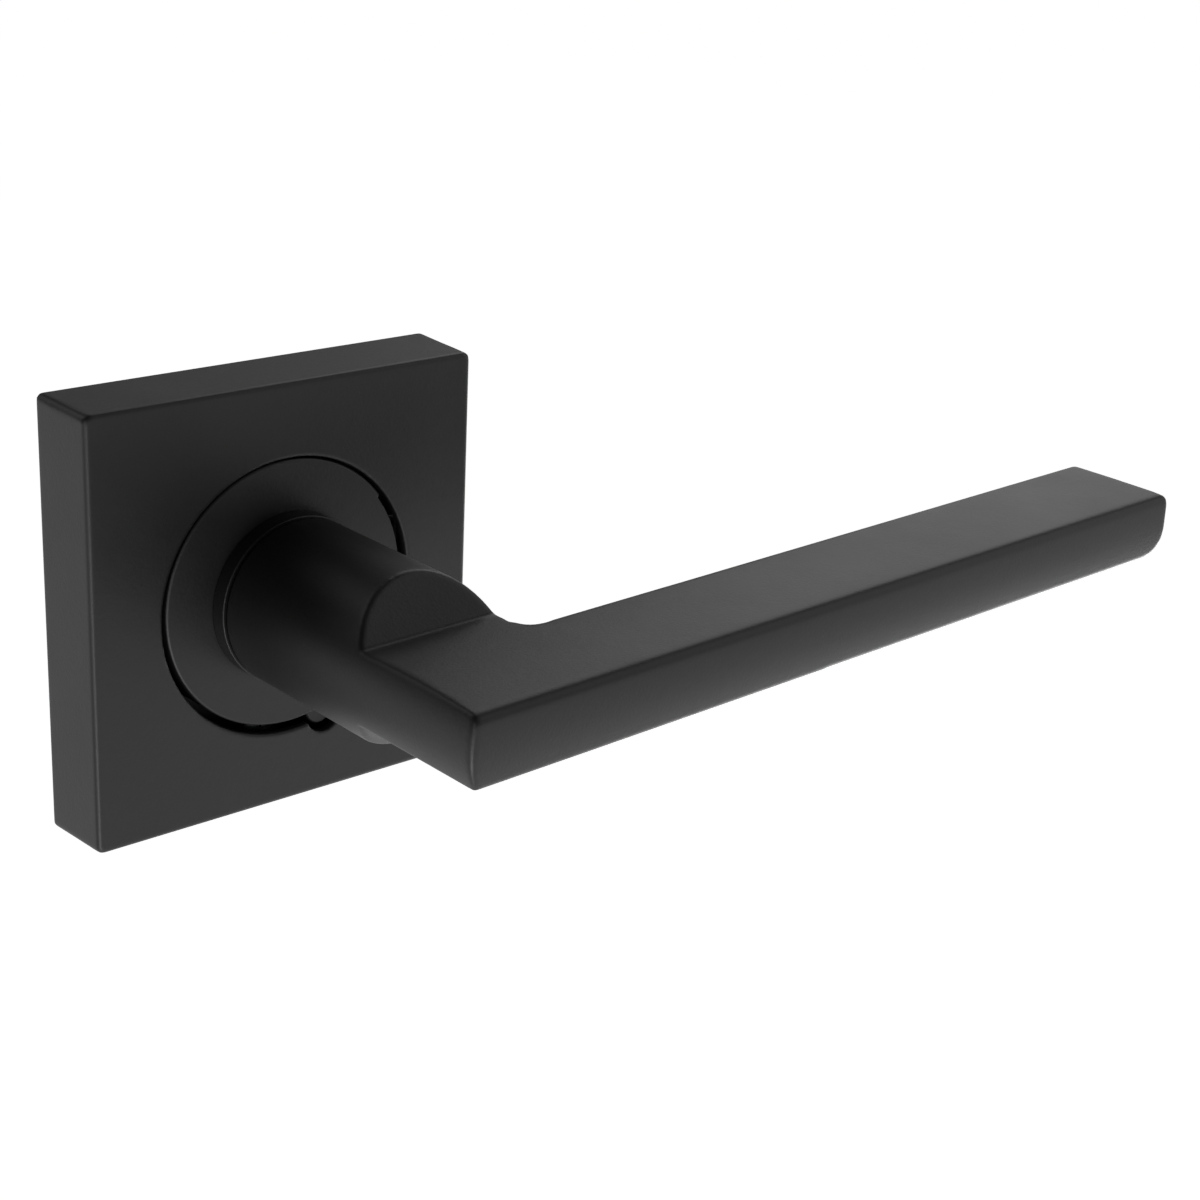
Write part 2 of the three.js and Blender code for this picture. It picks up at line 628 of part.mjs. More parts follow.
// Thin ring pressed into three waves, which takes up the lever's end play.
function waveWasher() {
  const segments = 36;
  const [inner, outer, thickness, rise] = [8.1, 9.8, 0.25, 0.08];
  const positions = [];
  const indices = [];
  for (let i = 0; i < segments; i++) {
    const angle = (i / segments) * 2 * Math.PI;
    const middle = WASHER_FRONT + 0.2 + rise * Math.cos(3 * angle);
    const [front, back] = [middle - thickness / 2, middle + thickness / 2];
    for (const [radius, y] of [[inner, front], [outer, front], [outer, back], [inner, back]]) {
      positions.push(radius * Math.cos(angle), y, radius * Math.sin(angle));
    }
    const next = (i + 1) % segments;
    for (let corner = 0; corner < 4; corner++) {
      const [a, b] = [i * 4 + corner, i * 4 + ((corner + 1) % 4)];
      const [c, d] = [next * 4 + ((corner + 1) % 4), next * 4 + corner];
      indices.push(a, b, c, a, c, d);
    }
  }
  const geometry = new THREE.BufferGeometry();
  geometry.setAttribute("position", new THREE.Float32BufferAttribute(positions, 3));
  geometry.setIndex(indices);
  return mesh("wave_washer", geometry, springSteel);
}

// Retaining ring in the spigot's groove: open at one side, with a plier eye on each end.
function circlip() {
  const inner = SPIGOT_RADIUS - 0.5;
  const outer = 9.1;
  const opening = degrees(22);
  const outline = new THREE.Shape();
  outline.absarc(0, 0, outer, opening, 2 * Math.PI - opening);
  outline.absarc(0, 0, inner, 2 * Math.PI - opening, opening, true);
  let ring = solid(plateOf(outline, CIRCLIP_BACK, CIRCLIP_FRONT, { curveSegments: 18 }));
  const eyeRadius = 1.15;
  for (const side of [-1, 1]) {
    const [x, z] = aroundAxis(8.9, side * (opening + degrees(5)));
    const eye = cylinder(eyeRadius, CIRCLIP_BACK, CIRCLIP_FRONT, SMALL_ROUND).translate(x, 0, z);
    const pliers = cylinder(0.55, PAST, CIRCLIP_FRONT - PAST, SMALL_ROUND).translate(x, 0, z);
    ring = ring.add(solid(eye)).subtract(solid(pliers));
  }
  const spigot = cylinder(inner, PAST, CIRCLIP_FRONT - PAST);
  return mesh("circlip", geometryOf(ring.subtract(solid(spigot))), darkSteel);
}

// ---------------------------------------------------------------- the assembly

const fixed = new THREE.Group();
fixed.add(
  mountingPlate(),
  frontBush(),
  backPlate(),
  rivet("rivet_top", 1),
  rivet("rivet_bottom", -1),
  stopPin("stop_pin_top", 1),
  stopPin("stop_pin_bottom", -1),
  coverClip("cover_clip_left", -1),
  coverClip("cover_clip_right", 1),
  returnSpring(),
);
for (const [corner, side, up] of SCREW_CORNERS) {
  fixed.add(woodScrew(`wood_screw_${corner}`, side, up));
}

const turning = new THREE.Group();
turning.rotation.y = degrees(-REST_TILT);
turning.add(lever(), squareSpindle(), grubScrew(), springDriver(), waveWasher(), circlip());

const handle = new THREE.Group();
handle.add(fixed, turning, roseCover());

export default handle;
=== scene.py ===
# %% [markdown]
# # A door lever handle on a square rose
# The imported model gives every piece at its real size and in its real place. This file
# models the pieces again with the rounded edges, threads and finishes that the real ones
# have. The lever runs along +X, the spindle goes into the door along +Y, and +Z is up.

import math

import bpy
import numpy as np
from mathutils import Euler, Matrix, Vector
from mathutils.geometry import intersect_sphere_sphere_2d


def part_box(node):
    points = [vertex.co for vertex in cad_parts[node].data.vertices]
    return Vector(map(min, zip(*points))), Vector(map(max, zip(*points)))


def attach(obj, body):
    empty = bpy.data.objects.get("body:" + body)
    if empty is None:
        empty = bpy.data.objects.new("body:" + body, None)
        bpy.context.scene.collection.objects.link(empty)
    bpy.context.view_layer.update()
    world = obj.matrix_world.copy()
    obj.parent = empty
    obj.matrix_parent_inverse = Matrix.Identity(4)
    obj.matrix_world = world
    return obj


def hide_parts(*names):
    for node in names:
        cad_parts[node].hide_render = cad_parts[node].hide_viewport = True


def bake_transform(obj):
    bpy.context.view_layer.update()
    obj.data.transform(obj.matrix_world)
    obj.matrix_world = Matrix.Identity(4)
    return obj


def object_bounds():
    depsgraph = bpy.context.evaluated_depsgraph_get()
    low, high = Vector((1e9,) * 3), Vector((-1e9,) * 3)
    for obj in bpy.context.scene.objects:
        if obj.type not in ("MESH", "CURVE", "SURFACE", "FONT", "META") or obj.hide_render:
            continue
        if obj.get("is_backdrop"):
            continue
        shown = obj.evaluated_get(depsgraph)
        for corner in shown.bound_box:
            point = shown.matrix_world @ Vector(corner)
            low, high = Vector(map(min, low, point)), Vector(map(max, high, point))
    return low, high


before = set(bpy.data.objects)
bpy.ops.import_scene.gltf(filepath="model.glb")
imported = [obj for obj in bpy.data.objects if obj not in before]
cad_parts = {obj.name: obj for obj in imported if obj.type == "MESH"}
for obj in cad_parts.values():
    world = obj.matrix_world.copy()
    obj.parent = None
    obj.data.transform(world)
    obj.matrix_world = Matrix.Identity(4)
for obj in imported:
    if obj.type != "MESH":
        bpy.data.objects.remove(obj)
cad_low, cad_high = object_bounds()
mm = 0.001

# %% [markdown]
# ## The camera
# The camera comes first, so that every later step can be looked at from the same place.
# It stands in front of the door, to the left and above, and leans a little to one side.
# A long lens keeps the square rose nearly square.

# %% Camera
CAMERA_PLACE = Vector((-0.140274, -0.219738, 0.095873))
CAMERA_AZIMUTH = math.radians(-42.05)
CAMERA_HEIGHT_ANGLE = math.radians(20.721)
CAMERA_ROLL = math.radians(2.844)
CAMERA_LENS = 68.54

aim = Euler((math.pi / 2 - CAMERA_HEIGHT_ANGLE, 0, CAMERA_AZIMUTH)).to_matrix()
lean = Matrix.Rotation(CAMERA_ROLL, 3, "Z")
bpy.ops.object.camera_add(location=CAMERA_PLACE)
camera = bpy.context.object
camera.name = "camera"
camera.rotation_euler = (aim @ lean).to_euler()
camera.data.lens = CAMERA_LENS
camera.data.sensor_width = 36
camera.data.clip_start = 0.01
bpy.context.scene.camera = camera
print("camera looks along", [round(x, 3) for x in (aim @ Vector((0, 0, -1)))])

# %% [markdown]
# ## Tools of the bench
# Each piece starts as a primitive and is shaped in edit mode. These helpers say which
# points, edges or faces an operator acts on, by their place, and finish a piece so that its
# place is held in its mesh.

# %% Selecting and shaping
QUARTER = math.pi / 2
TINY = 0.01 * mm


def deselect():
    bpy.ops.object.select_all(action="DESELECT")


def alone(piece):
    deselect()
    piece.select_set(True)
    bpy.context.view_layer.objects.active = piece


def edit(piece, kind="FACE", chosen=None):
    """Opens the piece in edit mode with the parts that pass the test selected, or all."""
    alone(piece)
    kinds = ("VERT", "EDGE", "FACE")
    bpy.context.tool_settings.mesh_select_mode = [one == kind for one in kinds]
    data = piece.data
    groups = {"VERT": data.vertices, "EDGE": data.edges, "FACE": data.polygons}
    for group in groups.values():
        group.foreach_set("select", np.zeros(len(group), bool))
    if chosen is None:
        groups[kind].foreach_set("select", np.ones(len(groups[kind]), bool))
    else:
        for part in groups[kind]:
            part.select = bool(chosen(part))
    bpy.ops.object.mode_set(mode="EDIT")


def done():
    bpy.ops.object.mode_set(mode="OBJECT")


def along_y(piece):
    """A test for the edges that run along Y."""

    def test(line):
        a, b = ends(piece, line)
        return abs(a.y - b.y) > 0.9 * (a - b).length

    return test


def ends(piece, line):
    """The two ends of an edge."""
    return [piece.data.vertices[i].co for i in line.vertices]


def finish_shape(piece, angle=35, crisp=True):
    """Merges doubles, points every face outwards, shades round parts smooth and flats flat."""
    edit(piece, "VERT")
    bpy.ops.mesh.remove_doubles(threshold=TINY / 5)
    bpy.ops.mesh.delete_loose()
    bpy.ops.mesh.select_all(action="SELECT")
    bpy.ops.mesh.normals_make_consistent(inside=False)
    done()
    bpy.ops.object.shade_smooth_by_angle(angle=math.radians(angle))
    if crisp:
        add_modifier(piece, "WEIGHTED_NORMAL", keep_sharp=True)
    return piece


def add_modifier(piece, kind, **settings):
    alone(piece)
    modifier = piece.modifiers.new(kind.lower(), kind)
    for name, value in settings.items():
        setattr(modifier, name, value)
    bpy.ops.object.modifier_apply(modifier=modifier.name)


def combine(piece, operation, *tools):
    """Joins the tools to the piece or cuts them out of it, and uses them up."""
    for tool in tools:
        add_modifier(piece, "BOOLEAN", operation=operation, solver="MANIFOLD", object=tool)
        bpy.data.objects.remove(tool)
    return piece


def join(piece, *tools):
    return combine(piece, "UNION", *tools)


def cut(piece, *tools):
    return combine(piece, "DIFFERENCE", *tools)


# %% Primitives at their size and place
def named(name):
    piece = bpy.context.object
    piece.name = name
    piece.data.name = name
    bpy.ops.object.transform_apply(location=True, rotation=True, scale=True)
    return piece


def block(name, low, high):
    """A box between two corners."""
    low, high = Vector(low), Vector(high)
    deselect()
    bpy.ops.mesh.primitive_cube_add(size=1, location=(low + high) / 2, scale=high - low)
    return named(name)


def rod(name, radius, front, back, x=0, z=0, segments=96):
    """A cylinder along Y."""
    deselect()
    place = (x, (front + back) / 2, z)
    turn = (QUARTER, 0, 0)
    bpy.ops.mesh.primitive_cylinder_add(
        vertices=segments, radius=radius, depth=back - front, location=place, rotation=turn
    )
    return named(name)


def spun(name, section, segments=96, soften=0, x=0, z=0, start=0, swing=2 * math.pi):
    """A section of (radius, y) corners, softened and spun about an axis along Y."""
    deselect()
    bpy.ops.mesh.primitive_circle_add(vertices=len(section), radius=1 * mm, fill_type="NGON")
    piece = named(name)
    for point, (radius, y) in zip(piece.data.vertices, section):
        point.co = (radius * math.cos(start), y, radius * math.sin(start))
    if soften:
        edit(piece, "VERT", lambda point: point.co.length_squared - point.co.y**2 > TINY**2)
        bpy.ops.mesh.bevel(affect="VERTICES", offset=soften, segments=3)
        done()
    edit(piece, "VERT")
    if swing == 2 * math.pi:
        bpy.ops.mesh.delete(type="ONLY_FACE")
        bpy.ops.mesh.select_all(action="SELECT")
    bpy.ops.mesh.spin(steps=segments, angle=swing, center=(0, 0, 0), axis=(0, 1, 0))
    bpy.ops.mesh.select_all(action="SELECT")
    bpy.ops.mesh.remove_doubles(threshold=TINY / 5)
    bpy.ops.mesh.delete_loose()
    bpy.ops.mesh.select_all(action="SELECT")
    bpy.ops.mesh.normals_make_consistent(inside=False)
    bpy.ops.transform.translate(value=(x, 0, z))
    done()
    return piece


def measure(piece):
    """Prints a finished piece's size and how many triangles it has."""
    points = np.array([v.co for v in piece.data.vertices])
    size = np.ptp(points, axis=0) / mm
    triangles = sum(len(face.vertices) - 2 for face in piece.data.polygons)
    print(f"{piece.name}: {size.round(2)} mm, {triangles} triangles")


wearing = {}


def stands_for(piece, node, finish):
    """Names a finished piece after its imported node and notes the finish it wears."""
    piece.name = piece.data.name = "made_" + node
    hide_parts(node)
    wearing[piece] = finish
    measure(piece)


def fit(piece, node, body, finish):
    """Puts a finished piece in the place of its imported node, on the body that carries it."""
    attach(piece, body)
    stands_for(piece, node, finish)


# %% [markdown]
# ## The lever
# The real lever is one casting. A round neck comes out of the rose, two slanted facets
# flatten it, and it turns into a flat bar. The bar's front and top are very slightly arched
# and its tip is a little thinner, which no one notices until light runs along it. It could
# be modelled as one mesh of quads, but the facets, the round neck and the bar meet in
# corners that bevels tear. So clean bodies are shaped apart and joined, and the skin is
# remeshed evenly and relaxed, which rounds every edge a little, as the coat does.

# %% Driving sizes of the lever
NECK_RADIUS = 10.1 * mm
NECK_BASE = -11.95 * mm
NECK_EDGE = 0.45 * mm
PROJECTION = 57.3 * mm
BAR_LENGTH = 105.6 * mm
BAR_DEPTH = 15.3 * mm
BAR_HALF = 4.5 * mm
TIP_HALF = 4.25 * mm
FRONT_ARCH = 26 * mm
FRONT_ARCH_HEIGHT = 1.2 * mm
TOP_ARCH = 200 * mm
TOP_ARCH_MIDDLE = -45 * mm
EDGE_ROUND = 1.2 * mm
RIM_ROUND = 0.6 * mm
FACET_START = -33 * mm
FACET_END = -36.9 * mm
REST_TILT = math.radians(1.4)
BAR_BACK = BAR_DEPTH - PROJECTION
FACET_FALL = Vector((0, BAR_HALF - NECK_RADIUS, FACET_START - FACET_END)).normalized()


# %% Neck with its two facets
def slice_off(piece, point, outwards):
    """Cuts the piece along a plane, drops what lies beyond it and closes the cut."""
    edit(piece)
    bpy.ops.mesh.bisect(
        plane_co=point, plane_no=outwards, use_fill=True, clear_outer=True, threshold=TINY / 20
    )
    done()


def lever_neck():
    neck = rod("neck", NECK_RADIUS, FACET_END - 6 * mm, NECK_BASE, segments=192)
    for side in (1, -1):
        outwards = (0, FACET_FALL.y, side * FACET_FALL.z)
        slice_off(neck, (0, FACET_END, side * BAR_HALF), outwards)
    edit(neck, "EDGE", lambda line: all(p.y > NECK_BASE - TINY for p in ends(neck, line)))
    bpy.ops.mesh.bevel(offset=NECK_EDGE, segments=3)
    done()
    return neck


# %% Front block, which keeps the neck's round side
UPPER_ROUND = 1.8 * mm
LOWER_ROUND = 1.1 * mm
CORNER_X, CORNER_Z = 4 * mm, 3.5 * mm


def is_corner(piece, line, x_side, z_side):
    """Whether an edge lies on that side of the middle in X and in Z."""
    return all(p.x * x_side > CORNER_X and p.z * z_side > CORNER_Z for p in ends(piece, line))


def front_block():
    low = (-NECK_RADIUS, -PROJECTION, -BAR_HALF)
    front = block("front", low, (NECK_RADIUS, FACET_END, BAR_HALF))
    for side, radius in ((1, UPPER_ROUND), (-1, LOWER_ROUND)):
        edit(front, "EDGE", lambda line: along_y(front)(line) and is_corner(front, line, -1, side))
        bpy.ops.mesh.bevel(offset=radius, segments=10)
        done()
    stock = rod("stock", NECK_RADIUS, -PROJECTION - mm, FACET_END + mm, segments=192)
    combine(front, "INTERSECT", stock)
    edit(front, "FACE", lambda face: face.normal.y < -0.9)
    bpy.ops.mesh.region_to_loop()
    bpy.ops.mesh.bevel(offset=RIM_ROUND, segments=4)
    done()
    return front


# %% Bar
TIP_TOP_ROUND = 1.3 * mm
TIP_BOTTOM_ROUND = 3.3 * mm


def bar():
    low = (0, -PROJECTION, -BAR_HALF)
    made = block("bar", low, (BAR_LENGTH, BAR_BACK, BAR_HALF))
    edit(made, "FACE", lambda face: face.normal.x > 0.9)
    bpy.ops.transform.resize(value=(1, 1, TIP_HALF / BAR_HALF))
    done()
    for side, radius in ((1, TIP_TOP_ROUND), (-1, TIP_BOTTOM_ROUND)):
        edit(made, "EDGE", lambda line: along_y(made)(line) and is_corner(made, line, 1, side))
        bpy.ops.mesh.bevel(offset=radius, segments=6)
        done()
    edit(made, "FACE", lambda face: abs(face.normal.y) > 0.9)
    bpy.ops.mesh.region_to_loop()
    bpy.ops.mesh.bevel(offset=RIM_ROUND, segments=4)
    done()
    return made


# %% [markdown]
# The arched front and top could be two big cylinders cut out of the bar. Here their outline
# is drawn once, front arch, round edge and top arch in one line, and drawn out along X. The
# bar is then whatever lies inside both, so the long edge is one smooth round.

# %% Arched faces
def arc(middle, radius, start, end, steps):
    """Points (y, z) along an arc, with its angles from +Y towards +Z."""
    turns = [start + (end - start) * step / steps for step in range(steps + 1)]
    return [middle + radius * Vector((math.cos(turn), math.sin(turn))) for turn in turns]


def direction(start, end):
    return math.atan2(end.y - start.y, end.x - start.x)


ARCH_START = math.radians(200)


def arched_stock():
    """The room the bar may fill: an arched front and top with a round edge between them."""
    front = Vector((FRONT_ARCH - PROJECTION, FRONT_ARCH_HEIGHT))
    top = Vector((TOP_ARCH_MIDDLE, BAR_HALF - TOP_ARCH))
    meets = intersect_sphere_sphere_2d(front, FRONT_ARCH - EDGE_ROUND, top, TOP_ARCH - EDGE_ROUND)
    edge = min(meets, key=lambda point: point.x)
    turns = direction(front, edge), direction(top, edge)
    section = arc(front, FRONT_ARCH, ARCH_START, turns[0], 40)
    section += arc(edge, EDGE_ROUND, *turns, 16)[1:]
    past_neck = math.acos((FACET_END + mm - TOP_ARCH_MIDDLE) / TOP_ARCH)
    section += arc(top, TOP_ARCH, turns[1], past_neck, 30)[1:]
    section.append(Vector((section[-1].x, section[0].y)))
    deselect()
    bpy.ops.mesh.primitive_circle_add(vertices=len(section), radius=1 * mm, fill_type="NGON")
    stock = named("stock")
    near, far = -12 * mm, BAR_LENGTH + 3 * mm
    for point, (y, z) in zip(stock.data.vertices, section):
        point.co = (near, y, z)
    edit(stock)
    bpy.ops.mesh.extrude_region_move(TRANSFORM_OT_translate={"value": (far - near, 0, 0)})
    bpy.ops.transform.resize(value=(1, 1, TIP_HALF / BAR_HALF), center_override=(0, 0, 0))
    bpy.ops.mesh.select_all(action="SELECT")
    bpy.ops.mesh.normals_make_consistent(inside=False)
    done()
    return stock


# %% Fillet in the corner behind the bar
INNER_CORNER = 9.7 * mm
INNER_FILLET = 2 * mm
FILLET_ROOT = 1.5 * mm


def inner_corner():
    half = BAR_HALF - 0.1 * mm
    low = (INNER_CORNER - FILLET_ROOT, BAR_BACK - FILLET_ROOT, -half)
    high = (INNER_CORNER + INNER_FILLET, BAR_BACK + INNER_FILLET, half)
    corner = block("corner", low, high)
    deselect()
    bpy.ops.mesh.primitive_cylinder_add(
        vertices=64, radius=INNER_FILLET, depth=3 * BAR_HALF, location=(high[0], high[1], 0)
    )
    return cut(corner, named("corner_round"))


# %% One even skin over all of it
SKIN_STEP = 0.2 * mm
SKIN_KEPT = 0.2


def even_skin(piece, relax, softer=None):
    """An even skin with relaxed edges, relaxed further where a test says, and then thinned."""
    add_modifier(piece, "REMESH", mode="VOXEL", voxel_size=SKIN_STEP)
    if softer:
        edit(piece, "VERT", softer)
        bpy.ops.object.vertex_group_add()
        bpy.ops.object.vertex_group_assign()
        done()
        group = piece.vertex_groups.active.name
        add_modifier(piece, "SMOOTH", factor=0.5, iterations=60, vertex_group=group)
        piece.vertex_groups.clear()
    add_modifier(piece, "SMOOTH", factor=0.5, iterations=relax)
    add_modifier(piece, "DECIMATE", ratio=SKIN_KEPT)


def behind_bar(point):
    x, y = point.co.x - INNER_CORNER, point.co.y - BAR_BACK
    return -1.1 * mm < x < 2.9 * mm and -0.6 * mm < y < 3 * mm


blade = combine(join(front_block(), bar()), "INTERSECT", arched_stock())
lever = join(lever_neck(), blade, inner_corner())
even_skin(lever, relax=24, softer=behind_bar)
measure(lever)

# %% [markdown]
# The hidden end of the lever is machined after casting: a spigot that turns in the bush,
# two flats that drive the spring disc, a groove for the circlip, the square socket for the
# spindle and the tapped hole of the grub screw. Cutting them after the skin is made keeps
# them sharp, as a tool leaves them.

# %% Machined end of the lever
SPIGOT_RADIUS = 7.9 * mm
SPIGOT_END = -1 * mm
FLAT_HALF = 6.9 * mm
FLATS_START = -4.5 * mm
GROOVE = (-2.55 * mm, -1.55 * mm)
GROOVE_DEPTH = 0.6 * mm
SOCKET_HALF = 4.15 * mm
SOCKET_END = -32 * mm
GRUB_Y = -20 * mm
GRUB_RADIUS = 2.45 * mm
PAST = 2 * mm


def spigot():
    outer, groove, edge = SPIGOT_RADIUS, SPIGOT_RADIUS - GROOVE_DEPTH, 0.3 * mm
    section = [(0, NECK_BASE - PAST), (outer, NECK_BASE - PAST), (outer, GROOVE[0])]
    section += [(groove, GROOVE[0]), (groove, GROOVE[1]), (outer, GROOVE[1])]
    section += [(outer, SPIGOT_END - edge), (outer - edge, SPIGOT_END), (0, SPIGOT_END)]
    made = spun("spigot", section, segments=128)
    for side in (1, -1):
        low, high = sorted((side * FLAT_HALF, side * (FLAT_HALF + PAST)))
        cut(made, block("flat", (-outer - PAST, FLATS_START, low), (outer + PAST, PAST, high)))
    return made


def grub_hole():
    hole = rod("grub_hole", GRUB_RADIUS + 0.1 * mm, -6 * mm, 6 * mm, segments=48)
    hole.rotation_euler.x = QUARTER
    hole.location = (0, GRUB_Y, -6 * mm)
    alone(hole)
    bpy.ops.object.transform_apply()
    return hole


def socket():
    half = SOCKET_HALF
    return block("socket", (-half, SOCKET_END, -half), (half, PAST, half))


def tilt(piece):
    """Turns a piece about the spindle's axis to the lever's rest, just above level."""
    alone(piece)
    piece.rotation_euler.y = -REST_TILT
    bpy.ops.object.transform_apply()
    return piece


join(lever, spigot())
cut(lever, socket(), grub_hole())
tilt(finish_shape(lever, angle=40, crisp=False))
fit(lever, "lever", "lever_arm", "black_coat")

# %% [markdown]
# ## The rose cover
# The cover is a square shell that slides over the mounting plate and hides its screws. Its
# wall flares slightly towards the door. It is shaped as a box whose front is scaled down
# and whose edges are bevelled, then hollowed. A small notch in the hole's rim clears the key
# on the boss. It gets the same even skin as the lever, because the same coat covers it.

# %% Rose cover
COVER_TAPER = 52 / 52.6
COVER_WALL = 1.2 * mm
COVER_CORNER = 0.8 * mm
COVER_EDGE = 0.4 * mm
HOLE_RADIUS = 17 * mm
HOLE_LIP = 0.15 * mm
NOTCH_RADIUS = 2.3 * mm
KEY_ANGLE = math.radians(-73)
cover_low, cover_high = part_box("rose_cover")
cover_middle = (cover_low + cover_high) / 2
COVER_HALF = (cover_high.x - cover_low.x) / 2
COVER_DEPTH = -cover_low.y


def around(radius, angle, y=0):
    """A point on a circle about the spindle's axis."""
    return Vector((radius * math.cos(angle), y, radius * math.sin(angle)))


def flared_box(name, inset, front, back):
    """A box as wide as the cover less an inset, with the cover's flare."""
    half = COVER_HALF - inset
    low, high = (-half, front, cover_middle.z - half), (half, back, cover_middle.z + half)
    made = block(name, low, high)
    edit(made, "FACE", lambda face: face.normal.y < -0.9)
    centre = (0, front, cover_middle.z)
    bpy.ops.transform.resize(value=(COVER_TAPER, 1, COVER_TAPER), center_override=centre)
    done()
    return made


def cover_outside():
    outside = flared_box("cover", 0, -COVER_DEPTH, 0)
    edit(outside, "EDGE", along_y(outside))
    bpy.ops.mesh.bevel(offset=COVER_CORNER, segments=4)
    done()
    edit(outside, "FACE", lambda face: face.normal.y < -0.9)
    bpy.ops.mesh.region_to_loop()
    bpy.ops.mesh.bevel(offset=COVER_EDGE, segments=6)
    done()
    return outside


def cover_hole():
    front, wide = -COVER_DEPTH, HOLE_RADIUS + HOLE_LIP
    section = [(0, front - mm), (wide, front - mm), (wide, front)]
    section += [(HOLE_RADIUS, front + HOLE_LIP), (HOLE_RADIUS, PAST), (0, PAST)]
    hole = spun("hole", section, segments=192, z=cover_middle.z)
    place = around(HOLE_RADIUS - 0.2 * mm, KEY_ANGLE)
    notch = rod("notch", NOTCH_RADIUS, front - mm, PAST, place.x, place.z + cover_middle.z)
    return join(hole, notch)


cover = cut(cover_outside(), flared_box("inside", COVER_WALL, COVER_WALL - COVER_DEPTH, PAST))
cut(cover, cover_hole())
even_skin(cover, relax=10)
finish_shape(cover, angle=40, crisp=False)
fit(cover, "rose_cover", "cover", "black_coat")

# %% [markdown]
# ## The mounting plate
# The plate is a zinc casting. Its round boss shows as a disc in the cover's hole, with a
# narrow gap round it, and the boss holds the bush and the spring. It could get a relaxed
# skin like the lever's, but screw holes, clip slots and seats are crisper than that, so
# bevelled bodies are joined and cut instead, and the finish rounds their creases.

# %% Driving sizes of the mounting plate
plate_low, plate_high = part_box("mounting_plate")
PLATE_HALF = plate_high.x
PLATE_THICKNESS = 3 * mm
BOSS_RADIUS = 16.4 * mm
BOSS_RISE = 0.2 * mm
BOSS_RIM = 0.35 * mm
BOSS_FACE = plate_low.y
KEY_RADIUS = 1.8 * mm
INDEX_START, INDEX_SWING = math.radians(2), math.radians(35)
INDEX_DEPTH = 0.5 * mm
BOSS_WALL_BACK = -8.1 * mm
POCKET_RADIUS = 14.4 * mm
HUB_RADIUS = 11.1 * mm
HUB_END = -4.9 * mm
BUSH_OUTER = 9.3 * mm
BUSH_INNER = 8 * mm
COLLAR_RADIUS = 10.3 * mm
SCREW_OFFSET = 16.5 * mm
RIVET_OFFSET = 19.6 * mm
RIVET_HOLE = 1.35 * mm
BACK_PLATE = 0.8 * mm
BACK_PLATE_RADIUS = 17 * mm
EAR_HALF, EAR_END, EAR_CORNER = 3.4 * mm, 2.8 * mm, 1.5 * mm
SPRING_RADIUS = 12.3 * mm


# %% Plate, boss and key
def bevelled_plate(name, half_x, half_z, front, back, corner, edge):
    """A flat plate with round corners and a small bevel round its front and back."""
    plate = block(name, (-half_x, front, -half_z), (half_x, back, half_z))
    edit(plate, "EDGE", along_y(plate))
    bpy.ops.mesh.bevel(offset=corner, segments=8)
    done()
    edit(plate, "FACE", lambda face: abs(face.normal.y) > 0.9)
    bpy.ops.mesh.region_to_loop()
    bpy.ops.mesh.bevel(offset=edge, segments=2)
    done()
    return plate


def boss():
    section = [(0, BOSS_FACE), (BOSS_RADIUS - BOSS_RIM, BOSS_FACE)]
    for step in range(1, 6):
        turn = step * QUARTER / 5
        inset, fall = BOSS_RIM * (1 - math.sin(turn)), BOSS_RIM * (1 - math.cos(turn))
        section.append((BOSS_RADIUS - inset, BOSS_FACE + fall))
    section += [(BOSS_RADIUS, -mm), (0, -mm)]
    return spun("boss", section, segments=192, z=BOSS_RISE)


def boss_key():
    place = around(BOSS_RADIUS + 0.4 * mm, KEY_ANGLE)
    front, edge = BOSS_FACE + 0.7 * mm, 0.2 * mm
    section = [(0, front), (KEY_RADIUS - edge, front), (KEY_RADIUS, front + edge)]
    section += [(KEY_RADIUS, -mm), (0, -mm)]
    return spun("key", section, 48, 0, place.x, place.z)


def index_step():
    """A shallow step in the boss's rim, which marks how the plate goes on the door."""
    inner, outer = BOSS_RADIUS - INDEX_DEPTH, BOSS_RADIUS + mm
    front, back = BOSS_FACE - mm, -PLATE_THICKNESS - 0.5 * mm
    section = [(inner, front), (outer, front), (outer, back), (inner, back)]
    return spun("index_step", section, 24, 0, 0, BOSS_RISE, INDEX_START, INDEX_SWING)


# %% Holes and seats of the plate
def back_plate_blank(name, grow, front, back, edge=0.05 * mm):
    """The back plate's outline as a solid: a disc with an ear at the top and the bottom."""
    radius = BACK_PLATE_RADIUS + grow
    section = [(0, front), (radius - edge, front), (radius, front + edge)]
    section += [(radius, back - edge), (radius - edge, back), (0, back)]
    reach = RIVET_OFFSET + EAR_END + grow
    ears = bevelled_plate("ears", EAR_HALF + grow, reach, front, back, EAR_CORNER, edge)
    return join(spun(name, section, segments=160), ears)


def screw_hole(side, up):
    far = -PLATE_THICKNESS - mm
    section = [(0, far), (3.75 * mm, far), (3.75 * mm, -3.1 * mm), (3.6 * mm, -2.95 * mm)]
    section += [(1.95 * mm, -1.3 * mm), (1.95 * mm, PAST), (0, PAST)]
    return spun("screw_hole", section, 64, 0, side * SCREW_OFFSET, up * SCREW_OFFSET)


def side_slots(side):
    """The clip's slot, and the notch in the plate's edge where its bowed leg works."""
    made = []
    for near, far, half in ((19.2, 20.4, 4.4), (23.2, 26.5, 5.2)):
        low, high = sorted((side * near * mm, side * far * mm))
        made.append(block("slot", (low, -5 * mm, -half * mm), (high, PAST, half * mm)))
        edit(made[-1], "EDGE", along_y(made[-1]))
        bpy.ops.mesh.bevel(offset=0.3 * mm, segments=3)
        done()
    return made


# %% Mounting plate
CORNERS = {
    "upper_left": (-1, 1),
    "upper_right": (1, 1),
    "lower_left": (-1, -1),
    "lower_right": (1, -1),
}


